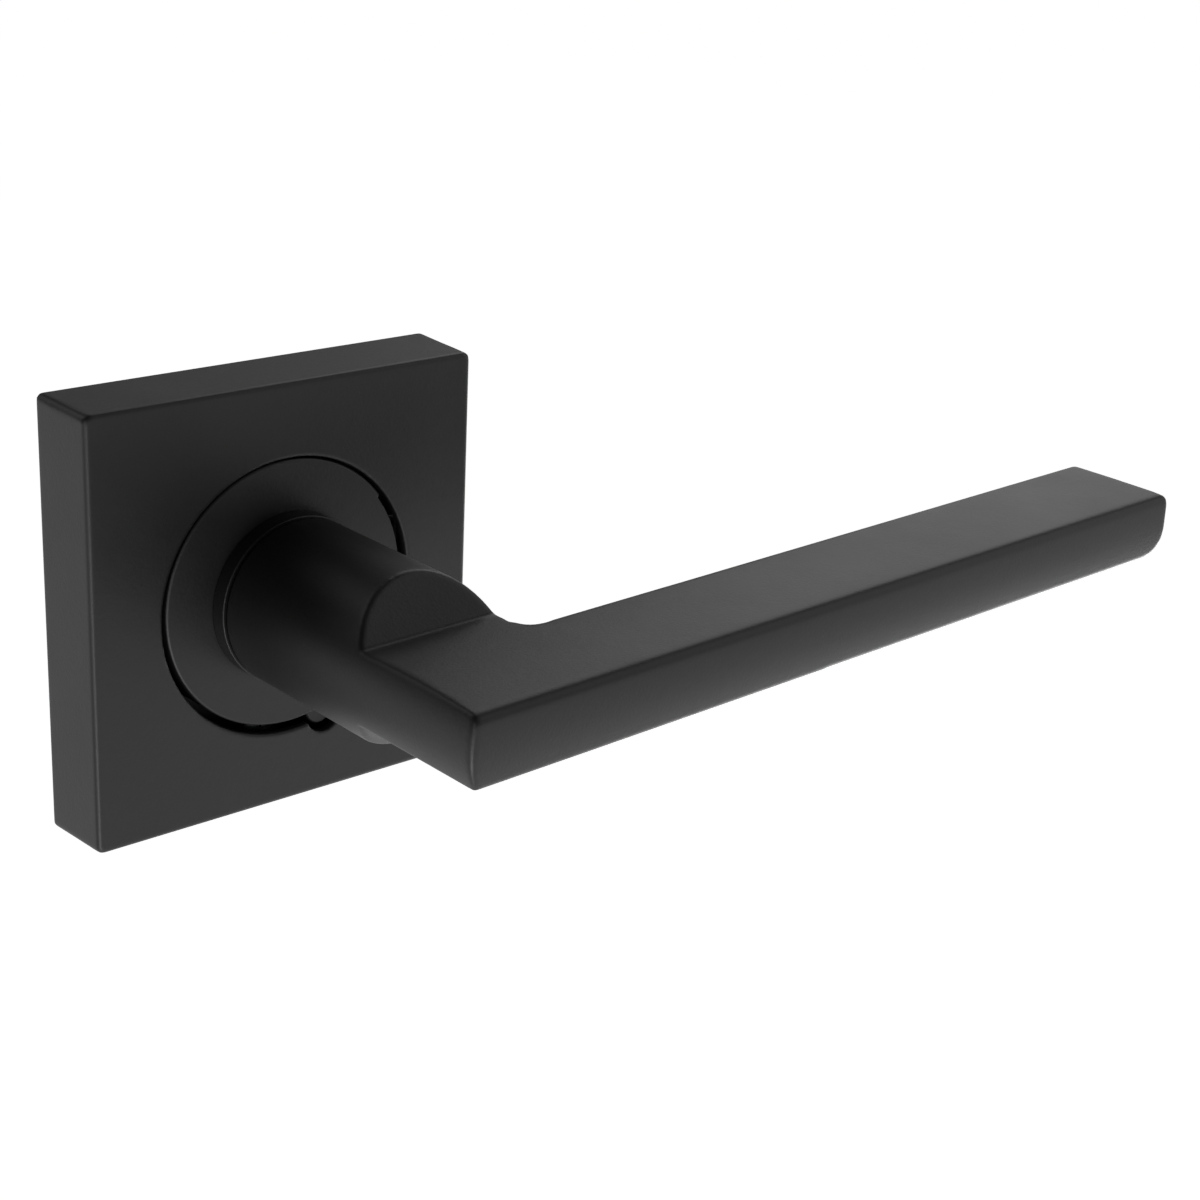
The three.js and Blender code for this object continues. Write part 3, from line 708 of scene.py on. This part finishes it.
def plate_casting():
    base = bevelled_plate("casting", PLATE_HALF, PLATE_HALF, -PLATE_THICKNESS, 0, 3 * mm, 0.3 * mm)
    casting = join(base, cut(boss(), index_step()), boss_key())
    cut(casting, rod("pocket", POCKET_RADIUS, BOSS_WALL_BACK, PAST, segments=160))
    join(casting, rod("hub", HUB_RADIUS, BOSS_WALL_BACK - 0.5 * mm, HUB_END, segments=128))
    cut(casting, rod("bore", BUSH_OUTER + 0.1 * mm, BOSS_FACE - PAST, PAST, segments=128))
    cut(casting, back_plate_blank("seat", 0.1 * mm, -BACK_PLATE - 0.05 * mm, PAST))
    cut(casting, *[screw_hole(*corner) for corner in CORNERS.values()])
    for side in (1, -1):
        cut(casting, *side_slots(side))
        cut(casting, rod("rivet_hole", RIVET_HOLE, -5 * mm, PAST, 0, side * RIVET_OFFSET, 48))
    end = BOSS_WALL_BACK - 0.9 * mm
    return cut(casting, rod("tail_hole", 1.1 * mm, end, -6 * mm, -SPRING_RADIUS, 0, 32))


plate = finish_shape(plate_casting(), angle=30)
fit(plate, "mounting_plate", "rose_mount", "black_casting")

# %% [markdown]
# ## Turned and stamped pieces of the rose
# The nylon bush shows as a low dark collar where the neck leaves the disc. The rivets, the
# stop pins and the back plate are plain turned or stamped steel. Each turned piece is a
# section with softened corners, spun about its axis, as it would be cut on a lathe.

# %% Bush, back plate, rivets and stop pins
def front_bush():
    front, seat = NECK_BASE + 0.05 * mm, BOSS_FACE - 0.05 * mm
    end = HUB_END + 0.2 * mm
    section = [(BUSH_INNER, front), (COLLAR_RADIUS, front), (COLLAR_RADIUS, seat)]
    section += [(BUSH_OUTER, seat), (BUSH_OUTER, end), (BUSH_INNER, end)]
    return spun("bush", section, segments=128, soften=0.12 * mm)


def back_plate():
    sheet = back_plate_blank("sheet", 0, -BACK_PLATE, 0)
    cut(sheet, rod("centre_hole", 6.4 * mm, -PAST, PAST, segments=96))
    for side in (1, -1):
        cut(sheet, rod("rivet_hole", RIVET_HOLE, -PAST, PAST, 0, side * RIVET_OFFSET, 48))
        cut(sheet, rod("pin_hole", PIN_RADIUS + 0.05 * mm, -PAST, PAST, 0, side * PIN_OFFSET, 48))
    return sheet


PIN_RADIUS = 1.1 * mm
PIN_OFFSET = 11.6 * mm
RIVET = [(0, -4.05), (0.7, -4.02), (1.3, -3.86), (1.85, -3.55), (2.2, -3.2), (2.3, -3.05)]
RIVET += [(1.25, -3.05), (1.25, -0.3), (1.3, -0.1), (1.2, -0.05), (0, -0.05)]
STOP_PIN = [(0, -4.35), (0.85, -4.35), (1.1, -4.15), (1.1, -1.55), (1.5, -1.55), (1.6, -1.45)]
STOP_PIN += [(1.6, -0.85), (1.1, -0.85), (1.1, -0.15), (1, -0.05), (0, -0.05)]


def spun_pair(section, offset):
    """A small turned piece at the top and its copy at the bottom."""
    top = spun("turned", [(radius * mm, y * mm) for radius, y in section], 48, 0, 0, offset)
    finish_shape(top, angle=35)
    return {"top": top, "bottom": copied(top, (0, 0, -2 * offset))}


def copied(piece, move):
    alone(piece)
    bpy.ops.object.duplicate()
    twin = bpy.context.object
    twin.location = move
    bpy.ops.object.transform_apply()
    return twin


fit(finish_shape(front_bush(), 35), "front_bush", "rose_mount", "black_nylon")
fit(finish_shape(back_plate(), 30), "back_plate", "rose_mount", "zinc_plated")
for place, rivet in spun_pair(RIVET, RIVET_OFFSET).items():
    fit(rivet, "rivet_" + place, "rose_mount", "zinc_plated")
for place, pin in spun_pair(STOP_PIN, PIN_OFFSET).items():
    fit(pin, "stop_pin_" + place, "rose_mount", "dark_steel")

# %% [markdown]
# ## Wood screws
# Four countersunk wood screws hold the plate to the door. Rings would pass for a thread from
# afar, but a real one climbs, so a small ridge is swept by the screw modifier round a core,
# joined to it and then narrowed step by step into the point.

# %% Threads
def thread(name, root, crest, pitch, start, turns, segments=24):
    """A ridge that climbs round an axis along Y, as a closed body."""
    deselect()
    bpy.ops.mesh.primitive_circle_add(vertices=4, radius=mm, fill_type="NGON")
    ridge = named(name)
    inner = root - 0.15 * mm
    flank = 0.42 * pitch
    section = [(inner, start - flank), (crest, start - 0.06 * pitch)]
    section += [(crest, start + 0.06 * pitch), (inner, start + flank)]
    for point, (radius, y) in zip(ridge.data.vertices, section):
        point.co = (radius, y, 0)
    edit(ridge)
    bpy.ops.mesh.delete(type="ONLY_FACE")
    done()
    steps = int(segments * turns)
    climb = {"angle": 2 * math.pi * turns, "screw_offset": pitch * turns}
    climb |= {"steps": steps, "render_steps": steps, "use_merge_vertices": True}
    add_modifier(ridge, "SCREW", axis="Y", **climb)
    edit(ridge, "EDGE", lambda line: False)
    bpy.ops.mesh.select_non_manifold()
    bpy.ops.mesh.edge_face_add()
    bpy.ops.mesh.select_all(action="SELECT")
    bpy.ops.mesh.normals_make_consistent(inside=False)
    done()
    return ridge


# %% Wood screw
def narrowed(piece, first, last, steps, share):
    """Narrows a piece about its axis step by step between two depths."""
    for step in range(steps):
        level = first + (last - first) * step / steps
        edit(piece, "VERT", lambda point: point.co.y > level)
        bpy.ops.transform.resize(value=(share, 1, share), center_override=(0, 0, 0))
        done()
    return piece


def cross_recess():
    depth = 1.5 * mm
    made = []
    for long, short in ((1.9, 0.5), (0.5, 1.9)):
        low = (-long * mm, -PLATE_THICKNESS - mm, -short * mm)
        wing = block("wing", low, (long * mm, depth - PLATE_THICKNESS, short * mm))
        edit(wing, "FACE", lambda face: face.normal.y > 0.9)
        bpy.ops.transform.resize(value=(0.55, 1, 0.55), center_override=(0, 0, 0))
        done()
        made.append(wing)
    return join(*made)


def wood_screw():
    head = -3
    section = [(0, head), (3.2, head), (3.4, head + 0.1), (3.4, head + 0.25), (1.7, head + 1.95)]
    section += [(1.7, 0.6), (1.2, 1.2)]
    section += [(1.2, y / 2) for y in range(3, 25)] + [(0.9, 12.6), (0, 13)]
    screw = spun("screw", [(radius * mm, y * mm) for radius, y in section], segments=48)
    join(screw, thread("ridge", 1.2 * mm, 1.75 * mm, 2 * mm, 2 * mm, 4.75))
    narrowed(screw, 8.5 * mm, 13 * mm, 18, 0.93)
    return cut(screw, cross_recess())


screw = finish_shape(wood_screw(), angle=30)
for corner, (side, up) in CORNERS.items():
    placed = copied(screw, (side * SCREW_OFFSET, 0, up * SCREW_OFFSET))
    fit(placed, "wood_screw_" + corner, "rose_mount", "zinc_plated")
bpy.data.objects.remove(screw)

# %% [markdown]
# ## Spring clips
# A strip of spring steel hooks through the plate on each side, and its bowed leg grips the
# cover's wall, so the cover slides on and off. The strip is drawn out of one edge, bend by
# bend, and gets its thickness at the end.

# %% Cover clips
CLIP_LINE = [(19.8, -0.9), (19.8, -3.05), (20.1, -3.4), (20.5, -3.45)]
CLIP_LINE += [(23, -3.45), (23.5, -3.38), (23.8, -3.1), (24.2, -2.6)]
CLIP_LINE += [(24.5, -2.15), (24.54, -1.9), (24.48, -1.6), (24, -0.75)]


CLIP_WIDTH = 8 * mm
CLIP_STEEL = 0.4 * mm


def cover_clip():
    deselect()
    bpy.ops.mesh.primitive_plane_add(size=CLIP_WIDTH, rotation=(QUARTER, 0, 0))
    strip = named("strip")
    edit(strip, "VERT", lambda point: point.co.x > 0)
    bpy.ops.mesh.delete(type="VERT")
    done()
    for point in strip.data.vertices:
        point.co.x, point.co.y = CLIP_LINE[0][0] * mm, CLIP_LINE[0][1] * mm
    edit(strip, "VERT")
    for (x0, y0), (x1, y1) in zip(CLIP_LINE, CLIP_LINE[1:]):
        move = {"value": ((x1 - x0) * mm, (y1 - y0) * mm, 0)}
        bpy.ops.mesh.extrude_region_move(TRANSFORM_OT_translate=move)
    done()
    add_modifier(strip, "SOLIDIFY", thickness=CLIP_STEEL, offset=0, use_even_offset=True)
    edges = {"width": CLIP_STEEL / 5, "limit_method": "ANGLE", "angle_limit": 1}
    add_modifier(strip, "BEVEL", segments=2, **edges)
    return finish_shape(strip, angle=35)


clip = cover_clip()
other_clip = copied(clip, (0, 0, 0))
edit(other_clip)
bpy.ops.transform.resize(value=(-1, 1, 1), center_override=(0, 0, 0))
done()
finish_shape(other_clip, angle=35)
fit(clip, "cover_clip_right", "rose_mount", "spring_steel")
fit(other_clip, "cover_clip_left", "rose_mount", "spring_steel")

# %% [markdown]
# ## Return spring
# A torsion spring in the boss lifts the lever again. It is a wire, so a curve through the
# points of its path is the natural start: two turns, and at each end a tail bent along the
# axis. One tail sits in the casting and the other in the driver disc, so in the real handle
# the spring winds up when the lever turns: its front end stays and its rear end follows the
# lever. Here it is one still piece.

# %% Spring wire
SPRING_FRONT = -7.45 * mm
SPRING_PITCH = 1.2 * mm
SPRING_TURNS = 2
SPRING_WIRE = 1.1 * mm
BEND = 0.9 * mm


def spring_path():
    """Points of the wire from the front tail to the rear tail."""
    rear = SPRING_FRONT + SPRING_PITCH * SPRING_TURNS
    lead = BEND / SPRING_RADIUS
    points = [around(SPRING_RADIUS, math.pi, SPRING_FRONT - 1.4 * mm)]
    points.append(around(SPRING_RADIUS, math.pi, SPRING_FRONT - BEND))
    points.append(around(SPRING_RADIUS, math.pi + 0.3 * lead, SPRING_FRONT - 0.3 * BEND))
    steps = 32 * SPRING_TURNS
    for step in range(steps + 1):
        share = step / steps
        angle = math.pi + lead + share * (2 * math.pi * SPRING_TURNS - 2 * lead)
        depth = SPRING_FRONT + share * (rear - SPRING_FRONT)
        points.append(around(SPRING_RADIUS, angle, depth))
    points.append(around(SPRING_RADIUS, math.pi - 0.3 * lead, rear + 0.3 * BEND))
    points.append(around(SPRING_RADIUS, math.pi, rear + BEND))
    points.append(around(SPRING_RADIUS, math.pi, -3.2 * mm))
    return points


def wire(name, points, thickness):
    deselect()
    bpy.ops.curve.primitive_bezier_curve_add()
    path = bpy.context.object
    bpy.ops.object.mode_set(mode="EDIT")
    bpy.ops.curve.select_all(action="SELECT")
    bpy.ops.curve.subdivide(number_cuts=len(points) - 2)
    done()
    for knot, point in zip(path.data.splines[0].bezier_points, points):
        knot.co = point
        knot.handle_left_type = knot.handle_right_type = "AUTO"
    path.data.bevel_depth = thickness / 2
    path.data.bevel_resolution = 4
    path.data.resolution_u = 4
    path.data.use_fill_caps = True
    alone(path)
    bpy.ops.object.convert(target="MESH")
    return named(name)


spring = finish_shape(wire("spring", spring_path(), SPRING_WIRE), angle=50)
stands_for(spring, "return_spring", "spring_steel")
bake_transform(spring)

# %% [markdown]
# ## Pieces that turn with the lever
# The square spindle carries the turn into the lock, and a grub screw from below pins the
# lever to it. The driver disc winds the spring and its two curved slots run against the
# stop pins. The wave washer takes up end play, and the circlip holds it all on the spigot.

# %% Spindle
SPINDLE_HALF = 4 * mm
SPINDLE_ENDS = (-31.5 * mm, 40 * mm)


def spindle():
    half, (front, back) = SPINDLE_HALF, SPINDLE_ENDS
    bar = block("square", (-half, front, -half), (half, back, half))
    edit(bar, "EDGE", along_y(bar))
    bpy.ops.mesh.bevel(offset=0.5 * mm, segments=4)
    done()
    edit(bar, "FACE", lambda face: abs(face.normal.y) > 0.9)
    bpy.ops.mesh.region_to_loop()
    bpy.ops.mesh.bevel(offset=0.45 * mm, segments=3)
    done()
    return finish_shape(bar, angle=35)


fit(tilt(spindle()), "spindle", "lever_arm", "zinc_plated")


# %% Grub screw
def grub_screw():
    """Modelled along +Y, then stood up under the spindle."""
    bottom, top = -9.5 * mm, -4.05 * mm
    root, crest = 2.1 * mm, 2.43 * mm
    section = [(0, bottom), (root, bottom), (root, top - 0.7 * mm), (1.4 * mm, top)]
    section += [(mm, top), (0, top - 0.6 * mm)]
    body = spun("grub", section, segments=48)
    join(body, thread("ridge", root, crest, 0.8 * mm, bottom + 0.5 * mm, 5))
    drive = rod("drive", 2.5 * mm / math.sqrt(3), bottom - mm, bottom + 2.4 * mm, segments=6)
    cut(body, drive)
    finish_shape(body, angle=30)
    body.rotation_euler.x = QUARTER
    body.location.y = GRUB_Y
    alone(body)
    bpy.ops.object.transform_apply()
    return body


fit(tilt(grub_screw()), "grub_screw", "lever_arm", "dark_steel")

# %% Driver disc
DRIVER_FRONT = -4.4 * mm
DRIVER_BACK = -3.1 * mm
DRIVER_RADIUS = 13.9 * mm
SWING = math.radians(50)


def stop_slot(side):
    half = PIN_RADIUS + 0.2 * mm
    start = side * QUARTER - REST_TILT
    front, back = DRIVER_FRONT - mm, DRIVER_BACK + mm
    section = [(PIN_OFFSET - half, front), (PIN_OFFSET + half, front)]
    section += [(PIN_OFFSET + half, back), (PIN_OFFSET - half, back)]
    slot = spun("slot", section, 24, start=start, swing=SWING)
    for angle in (start, start + SWING):
        place = around(PIN_OFFSET, angle)
        join(slot, rod("slot_end", half, front - TINY, back + TINY, place.x, place.z, 32))
    return slot


def driver():
    radius, edge = DRIVER_RADIUS, 0.1 * mm
    section = [(0, DRIVER_FRONT), (radius - edge, DRIVER_FRONT), (radius, DRIVER_FRONT + edge)]
    section += [(radius, DRIVER_BACK - edge), (radius - edge, DRIVER_BACK), (0, DRIVER_BACK)]
    disc = spun("driver", section, segments=128)
    through = (DRIVER_FRONT - mm, DRIVER_BACK + mm)
    play, past = 0.15 * mm, 12 * mm
    grip = rod("grip", SPIGOT_RADIUS + play, *through, segments=96)
    for side in (1, -1):
        low, high = sorted((side * (FLAT_HALF + play), side * past))
        cut(grip, block("flat", (-past, -past, low), (past, 0, high)))
    tail = around(SPRING_RADIUS, math.pi - REST_TILT)
    tail_hole = rod("tail_hole", 0.8 * mm, *through, tail.x, tail.z, 32)
    return cut(disc, grip, stop_slot(1), stop_slot(-1), tail_hole)


fit(tilt(finish_shape(driver(), 30)), "spring_driver", "lever_arm", "zinc_plated")


# %% Wave washer and circlip
WAVES = 3
WAVE_HEIGHT = 0.08 * mm


def wave_washer():
    inner, outer = 8.1 * mm, 9.8 * mm
    front, back = -2.925 * mm, -2.675 * mm
    section = [(inner, front), (outer, front), (outer, back), (inner, back)]
    washer = spun("washer", section, segments=96, soften=0.05 * mm)
    for point in washer.data.vertices:
        point.co.y += WAVE_HEIGHT * math.cos(WAVES * math.atan2(point.co.z, point.co.x))
    return washer


def circlip():
    front, back = GROOVE[0] + 0.05 * mm, GROOVE[1] - 0.05 * mm
    opening = math.radians(22)
    inner, outer = SPIGOT_RADIUS - 0.5 * mm, 9.1 * mm
    section = [(inner, front), (outer, front), (outer, back), (inner, back)]
    swing = 2 * math.pi - 2 * opening
    ring = spun("clip_ring", section, 96, soften=0.08 * mm, start=opening, swing=swing)
    for side in (1, -1):
        place = around(8.9 * mm, side * (opening + math.radians(5)))
        join(ring, rod("eye", 1.15 * mm, front, back, place.x, place.z, 32))
        cut(ring, rod("eye_hole", 0.55 * mm, front - mm, back + mm, place.x, place.z, 24))
    return cut(ring, rod("spigot_room", inner, front - mm, back + mm, segments=96))


fit(tilt(finish_shape(wave_washer(), 35)), "wave_washer", "lever_arm", "spring_steel")
fit(tilt(finish_shape(circlip(), 30)), "circlip", "lever_arm", "dark_steel")

# %% [markdown]
# ## Finishes
# The black coat is baked powder: nearly black, fairly rough, with a fine grain and very
# shallow ripples. An image could hold the grain, but noise on the object's own coordinates
# follows any shape and stays sharp. One recipe serves all six finishes: clouds for colour and
# gloss, grain for bump, and a lighter tone on every edge, which is a painted highlight and
# also stands for rubbed wear.

# %% Node helpers
def add(tree, kind, inputs=None, output=0, **settings):
    """Adds a node, fills or links its inputs and returns one of its outputs."""
    made = tree.nodes.new("ShaderNode" + kind)
    for name, value in settings.items():
        setattr(made, name, value)
    for name, value in (inputs or {}).items():
        if isinstance(value, bpy.types.NodeSocket):
            tree.links.new(value, made.inputs[name])
        else:
            made.inputs[name].default_value = value
    return made.outputs[output]


def calculate(tree, operation, first, second):
    return add(tree, "Math", {0: first, 1: second}, operation=operation)


def ramp(tree, factor, stops):
    """A colour ramp with a colour at each place."""
    made = add(tree, "ValToRGB", {"Fac": factor})
    points = made.node.color_ramp.elements
    while len(points) < len(stops):
        points.new(0.5)
    for point, (place, color) in zip(points, stops):
        point.position = place
        point.color = (*color, 1)
    return made


def noise(tree, where, size, detail=3, stretch=(1, 1, 1)):
    """Noise whose blotches are about that size, in metres."""
    mapped = add(tree, "Mapping", {"Vector": where, "Scale": stretch})
    return add(tree, "TexNoise", {"Vector": mapped, "Scale": 1 / size, "Detail": detail})


# The edge mask lightens the colour at every edge: a painted highlight, also standing for wear.
def edge_highlight_and_wear(tree, radius):
    """1 on a sharp outer or inner edge and 0 on a flat, and the normal rounded at edges."""
    rounded = add(tree, "Bevel", {"Radius": radius}, samples=4)
    both = {0: rounded, 1: add(tree, "NewGeometry", output="Normal")}
    alike = add(tree, "VectorMath", both, output="Value", operation="DOT_PRODUCT")
    return calculate(tree, "SUBTRACT", 1, alike), rounded


# %% The recipe of a finish
EDGE_BEVEL_WIDTH = 0.15 * mm


def finish(name, shades, clouds, grain, roughness, relief, metallic=0, stretch=(1, 1, 1)):
    """shades: dark, light and edge colour, the last a painted highlight and wear; clouds and
    grain: sizes; relief: bump depth.
    """
    material = bpy.data.materials.new(name)
    material.use_nodes = True
    tree = material.node_tree
    shader = tree.nodes["Principled BSDF"]
    shader.inputs["Metallic"].default_value = metallic
    where = add(tree, "TexCoord", output="Object")
    cloud = noise(tree, where, clouds, detail=5)
    grains = noise(tree, where, grain, detail=3, stretch=stretch)
    ripple = noise(tree, where, grain * 6, detail=2)
    highlight_and_wear, rounded = edge_highlight_and_wear(tree, EDGE_BEVEL_WIDTH)
    # Painted highlight on every edge, patchy with the clouds; it also stands for rubbed wear.
    edge_highlight_and_wear_tone = calculate(tree, "MULTIPLY", highlight_and_wear, calculate(tree, "MULTIPLY", cloud, 1.6))
    broad, fine = calculate(tree, "MULTIPLY", cloud, 0.5), calculate(tree, "MULTIPLY", grains, 0.3)
    tone = calculate(tree, "ADD", broad, fine)
    color = ramp(tree, calculate(tree, "ADD", tone, edge_highlight_and_wear_tone), list(zip((0.25, 0.55, 0.95), shades)))
    tree.links.new(color, shader.inputs["Base Color"])
    spread = {"From Min": 0.2, "From Max": 0.6, "To Min": roughness[0], "To Max": roughness[1]}
    gloss = add(tree, "MapRange", {"Value": tone, **spread})
    tree.links.new(gloss, shader.inputs["Roughness"])
    height = {"Height": calculate(tree, "ADD", grains, ripple), "Distance": relief}
    bumped = add(tree, "Bump", {**height, "Strength": 1, "Normal": rounded})
    tree.links.new(bumped, shader.inputs["Normal"])
    return material


def greys(*levels):
    return [(level,) * 3 for level in levels]


# The third shade of each finish is its edge colour: a painted highlight, also standing for wear.
COAT = [*greys(0.006, 0.0085), (0.014, 0.0135, 0.013)]
# The nylon's shades sit below the coat's, so the collar's side wall reads dark: the nylon's own
# black, deepened as painted shade.
NYLON = greys(0.003, 0.005, 0.012)
ZINC = [(0.46, 0.48, 0.5), (0.62, 0.63, 0.63), (0.8, 0.8, 0.78)]
SPRING_STEEL = [(0.1, 0.102, 0.105), (0.17, 0.17, 0.175), (0.4, 0.4, 0.4)]
DARK_STEEL = [(0.03, 0.03, 0.033), (0.055, 0.054, 0.055), (0.2, 0.2, 0.2)]
DRAWN = (1, 1, 6)
RECIPES = {
    "black_coat": (COAT, 12 * mm, 0.35 * mm, (0.40, 0.47), 0.015 * mm),
    "black_casting": (COAT, 9 * mm, 0.4 * mm, (0.40, 0.48), 0.015 * mm),
    "black_nylon": (NYLON, 6 * mm, 0.2 * mm, (0.38, 0.46), 0.006 * mm),
    "zinc_plated": (ZINC, 5 * mm, 0.3 * mm, (0.24, 0.42), 0.003 * mm, 1),
    "spring_steel": (SPRING_STEEL, 4 * mm, 0.15 * mm, (0.28, 0.42), 0.003 * mm, 1, DRAWN),
    "dark_steel": (DARK_STEEL, 3 * mm, 0.2 * mm, (0.38, 0.52), 0.003 * mm, 0.9),
}
FINISHES = {name: finish(name, *recipe) for name, recipe in RECIPES.items()}
for piece, name in wearing.items():
    piece.data.materials.clear()
    piece.data.materials.append(FINISHES[name])
worn_by = list(wearing.values())
print("pieces with each finish:", {name: worn_by.count(name) for name in FINISHES})

# %% [markdown]
# ## Studio
# The handle hangs over a wide white floor, lit by seven oval soft boxes that the camera
# doesn't see. Black gloss shows its surroundings more than its own colour, so what matters
# is where the boxes are: most stand high, behind and to the right, and the room in front on
# the left stays dim, which keeps the neck dark and the bar's faces light. Two low ones draw
# the thin bright lines on upright edges and round rims. A ring of equal lamps would be
# simpler, but would turn the black into an even grey. The floor glows a little, so that it
# looks white, fades to full white away from the handle, and is slightly dimmer in gloss.

# %% White floor with a soft shadow
FLOOR = -0.42
NEAR_GLOW, FAR_GLOW = 0.8, 1.0
NEAR, FAR = 0.3, 1.5
FLOOR_IN_GLOSS = 0.75

deselect()
bpy.ops.mesh.primitive_plane_add(size=16, location=(0, 0, FLOOR))
floor = named("floor")
floor_paint = bpy.data.materials.new("floor_paint")
floor_paint.use_nodes = True
paint = floor_paint.node_tree.nodes["Principled BSDF"].inputs
paint["Base Color"].default_value = (0.8, 0.8, 0.8, 1)
paint["Roughness"].default_value = 1
paint["Specular IOR Level"].default_value = 0
paint["Emission Color"].default_value = (1, 1, 1, 1)
tree = floor_paint.node_tree
where = add(tree, "TexCoord", output="Object")
from_middle = add(tree, "VectorMath", {0: where}, output="Value", operation="LENGTH")
fade = {"From Min": NEAR, "From Max": FAR, "To Min": NEAR_GLOW, "To Max": FAR_GLOW}
distance_glow = add(tree, "MapRange", {"Value": from_middle, **fade})
eye = add(tree, "LightPath", output="Is Camera Ray")
eye_glow = add(tree, "MapRange", {"Value": eye, "To Min": FLOOR_IN_GLOSS, "To Max": 1})
glow = calculate(tree, "MULTIPLY", distance_glow, eye_glow)
tree.links.new(glow, paint["Emission Strength"])
floor.data.materials.append(floor_paint)
floor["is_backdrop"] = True

# %% Room, white to the eye and dim in gloss
ROOM_IN_GLOSS = 0.04
room = bpy.data.worlds.new("room")
room.use_nodes = True
bpy.context.scene.world = room
tree = room.node_tree
path = tree.nodes.new("ShaderNodeLightPath").outputs
seen = calculate(tree, "MAXIMUM", path["Is Camera Ray"], path["Is Transmission Ray"])
gloss = calculate(tree, "MULTIPLY", path["Is Glossy Ray"], ROOM_IN_GLOSS)
background = tree.nodes["Background"].inputs
background["Color"].default_value = (1, 1, 1, 1)
tree.links.new(calculate(tree, "MAXIMUM", seen, gloss), background["Strength"])

# %% Soft boxes
# azimuth from +X towards +Y, height, half width and half height as angles, distance, brightness
SOFT_BOXES = {
    "right_back": (30, 33, 16, 29, 0.9, 1.15),
    "back": (60, 30, 16, 16, 0.9, 0.35),
    "right_front": (-30, 24, 26, 28, 0.9, 0.8),
    "left_back": (120, 38, 16, 32, 0.9, 0.7),
    "left_front": (213, 4, 10, 10, 0.9, 2.5),
    "low_right": (0, -35, 16, 16, 0.5, 4.2),
    "low_front": (242, -33, 16, 16, 0.5, 3.9),
}


def soft_box(name, azimuth, height, half_width, half_height, distance, brightness):
    """An oval lamp whose face has that brightness, where 1 is white, aimed at the rose."""
    azimuth, height = math.radians(azimuth), math.radians(height)
    flat = math.cos(height)
    way = Vector((flat * math.cos(azimuth), flat * math.sin(azimuth), math.sin(height)))
    turn = way.to_track_quat("Z", "Y").to_euler()
    bpy.ops.object.light_add(type="AREA", location=way * distance, rotation=turn)
    lamp = bpy.context.object
    lamp.name = "soft_box_" + name
    lamp.data.shape = "ELLIPSE"
    lamp.data.size = 2 * distance * math.tan(math.radians(half_width))
    lamp.data.size_y = 2 * distance * math.tan(math.radians(half_height))
    lamp.data.energy = brightness * math.pi**2 * lamp.data.size * lamp.data.size_y / 4
    lamp.visible_camera = False
    return lamp


boxes = [soft_box(name, *facts) for name, facts in SOFT_BOXES.items()]
print("soft boxes:", {lamp.name: round(lamp.data.energy, 2) for lamp in boxes})

# %% [markdown]
# ## Sizes
# The box of the new pieces and the box of the imported model are printed side by side.

# %% Compare the boxes
bpy.context.scene.view_settings.view_transform = "Standard"
low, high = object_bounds()
for name, size in (("pieces", high - low), ("packed", cad_high - cad_low)):
    print(f"box of the {name}:", [round(x / mm, 2) for x in size])
